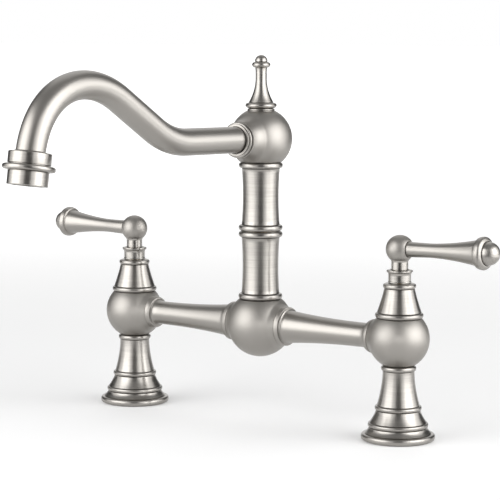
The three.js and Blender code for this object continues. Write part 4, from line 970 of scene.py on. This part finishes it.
def make_head():
    """A ball whose front flows into the boss that holds the spout."""
    outline = [
        *arc(HEAD_BALL, 0, -90, ball_angle(HEAD_BALL, 13.9), steps=44),
        *cove((13.85, 13.35), (11.15, 22.1), 2.2, steps=14),
        (10.8, 22.4),
        (0, 22.4),
    ]
    head = turned("spout_head_ball", outline, turn=ALONG_MINUS_Y, place=IN_HEAD)
    cut_flat(head, head_crown, keep_above=False)
    cut_flat(head, head_foot, keep_above=True)
    return head


def make_finial():
    """The ornament on the head: two beads, a slender neck and a small dome."""
    seat = head_crown + SEAT_GAP
    outline = [
        (0, -1.0),
        (8.4, -1.0),
        (8.4, 0.0),
        *bead(7.7, 8.4, 0.05, 1.05, steps=8),
        *crease(7.6, 1.25, 0.4, 0.25),
        *bead(7.7, 9.6, 1.4, 3.3, fullness=2.0),
        *crease(7.55, 4.8, 0.3, 0.25),
        *cove((7.6, 4.95), (3.43, 19.4), 2.0, steps=24),
        (3.43, 23.0),
        (3.5, 24.4),
        (3.7, 25.6),
        *crease(3.75, 25.85, 0.2, 0.2)[1:],
        *bead(3.9, 5.65, 26.05, 3.45, fullness=1.9),
        *crease(3.7, 29.65, 0.25, 0.2),
        *dome(3.85, 29.85, 3.94, steps=12),
        (0, 33.8),
    ]
    return turned("finial_turned", lifted(outline, seat))


def make_collar():
    """Two beads where the spout leaves the head, measured from the middle of its ball."""
    outline = [
        (9.8, 22.7),
        *bead(9.7, 10.85, 22.95, 1.75, steps=10),
        *crease(9.5, 24.85, 0.45, 0.3),
        *bead(9.2, 9.95, 25.05, 0.9, steps=8),
        (8.9, 26.0),
        (8.5, 26.0),
        (8.5, 22.7),
    ]
    return turned("spout_collar_beaded", outline, turn=ALONG_MINUS_Y, place=IN_HEAD)


# ------------------------------------------------------------------ spout

SPOUT_RADIUS = 8.05
SPOUT_SLOPE = math.radians(30.7)
TIP_TILT = math.radians(9.0)
TIP_REACH = 205.7
TIP_LEVEL = head_centre - 2.1
AT_TIP = {"turn": (-TIP_TILT, 0, 0), "place": (0, -TIP_REACH, TIP_LEVEL)}

# The centre line starts in the head, runs nearly level to a bend, climbs and arches over to the
# tip. The bend begins and ends BEND_EASE from its corner, and the handles shape the arch.
ROOT_REACH = 9.9
BEND_REACH = 89.4
BEND_RISE = 1.1
BEND_EASE = 16
CLIMB = 51
ARCH_HANDLE = 35.2
TIP_HANDLE = 36.9
LEVEL_STEPS = 6
BEND_STEPS = 14
CLIMB_STEPS = 5
ARCH_STEPS = 56
SPOUT_SIDES = 80


def spout_line():
    """Points (reach, level) of the spout's centre line, from inside the head to its tip."""
    slope = Vector((math.cos(SPOUT_SLOPE), math.sin(SPOUT_SLOPE)))
    root = Vector((ROOT_REACH, head_centre))
    bend = Vector((BEND_REACH, head_centre + BEND_RISE))
    bend_start = bend - (bend - root).normalized() * BEND_EASE
    bend_end = bend + slope * BEND_EASE
    arch_start = bend + slope * CLIMB
    arch_handle = arch_start + slope * ARCH_HANDLE
    tip = Vector((TIP_REACH, TIP_LEVEL))
    tip_handle = tip + Vector((-math.sin(TIP_TILT), math.cos(TIP_TILT))) * TIP_HANDLE
    line = [root + (bend_start - root) * i / LEVEL_STEPS for i in range(LEVEL_STEPS)]
    for i in range(BEND_STEPS):
        t = i / BEND_STEPS
        line.append(bend_start * (1 - t) ** 2 + bend * 2 * t * (1 - t) + bend_end * t**2)
    line += [bend_end + (arch_start - bend_end) * i / CLIMB_STEPS for i in range(CLIMB_STEPS)]
    for i in range(ARCH_STEPS + 1):
        t = i / ARCH_STEPS
        line.append(arch_start * (1 - t) ** 3 + arch_handle * 3 * t * (1 - t) ** 2
                    + tip_handle * 3 * t**2 * (1 - t) + tip * t**3)
    return line


def on_spout(point):
    """A point of the centre line, in metres, in the faucet's own directions."""
    return (0, -point.x * MM, point.y * MM)


def make_spout():
    """A disc that is extruded from point to point of the centre line, and turned at each one."""
    line = spout_line()
    bearings = []
    for i in range(len(line)):
        before, after = line[max(i - 1, 0)], line[min(i + 1, len(line) - 1)]
        bearings.append(math.atan2(after.y - before.y, after.x - before.x))
    bearings[-1] = -(QUARTER - TIP_TILT)
    bpy.ops.object.select_all(action="DESELECT")
    bpy.ops.mesh.primitive_circle_add(vertices=SPOUT_SIDES, radius=SPOUT_RADIUS * MM,
                                      fill_type="NGON", location=on_spout(line[0]),
                                      rotation=(QUARTER - bearings[0], 0, 0))
    tube = bpy.context.object
    tube.name = "spout_tube_swept"
    bpy.ops.object.transform_apply(location=True, rotation=True, scale=True)
    bpy.ops.object.mode_set(mode="EDIT")
    for i in range(1, len(line)):
        step = [b - a for a, b in zip(on_spout(line[i - 1]), on_spout(line[i]))]
        bpy.ops.mesh.extrude_region_move(TRANSFORM_OT_translate={"value": step})
        bpy.ops.transform.rotate(value=bearings[i] - bearings[i - 1], orient_axis="X",
                                 center_override=on_spout(line[i]))
    bpy.ops.mesh.select_all(action="SELECT")
    bpy.ops.mesh.normals_make_consistent(inside=False)
    bpy.ops.object.mode_set(mode="OBJECT")
    return tube


def make_aerator_collar():
    """The collar at the spout's tip, measured along the tip's axis as the shell is."""
    outline = [
        (10.9, -2.9),
        (10.9, -3.4),
        *corner((11.5, -3.4), (11.75, -3.2)),
        (11.75, 2.3),
        (11.68, 2.6),
        (11.45, 2.85),
        (11.1, 2.95),
        (9.2, 2.95),
        (8.85, 3.2),
        (8.5, 3.5),
        (8.5, -2.9),
    ]
    return turned("aerator_collar_turned", outline, **AT_TIP)


def make_aerator_shell():
    """The flanged outlet, hollow for the insert and its screen."""
    outline = [
        (10.9, -14.9),
        (11.1, -14.7),
        (11.1, -7.5),
        *crease(11.1, -7.3, 0.3, 0.3),
        *bead(11.3, 14.35, -7.1, 3.3, fullness=3.0),
        (10.7, -3.75),
        (10.7, -3.25),
        (9.5, -3.25),
        (9.5, -13.7),
        (8.3, -13.7),
        (8.3, -14.9),
    ]
    return turned("aerator_shell_flanged", outline, **AT_TIP)


def dress_column_and_spout():
    """Makes and dresses the pieces in the middle."""
    for make, cad_node, body, material in (
        (make_tee, "mixing_tee", "root", nickel_satin),
        (make_lower_riser, "lower_riser", "root", nickel_upright),
        (make_upper_riser, "upper_riser", "spout", nickel_upright),
        (make_head, "spout_head", "spout", nickel_satin),
        (make_finial, "finial", "spout", nickel_upright),
        (make_collar, "spout_collar", "spout", nickel_drawn),
        (make_spout, "spout_tube", "spout", nickel_drawn),
        (make_aerator_collar, "aerator_collar", "spout", nickel_upright),
        (make_aerator_shell, "aerator_shell", "spout", nickel_upright),
    ):
        dress(make(), material, [cad_node], body)


# ------------------------------------------------------------------ dressing the faucet


def finish_cad_nodes():
    """Gives each CAD node that still shows the finish of its slot."""
    slots = {part["node"]: part["material_slot"] for part in frame["record"]["subparts"]}
    for name, cad_object in frame["nodes"].items():
        for socket in cad_object.material_slots:
            socket.material = slot_finishes[slots[name]]


finish_cad_nodes()
dress_post()
dress_column_and_spout()
light_spout_and_balls()
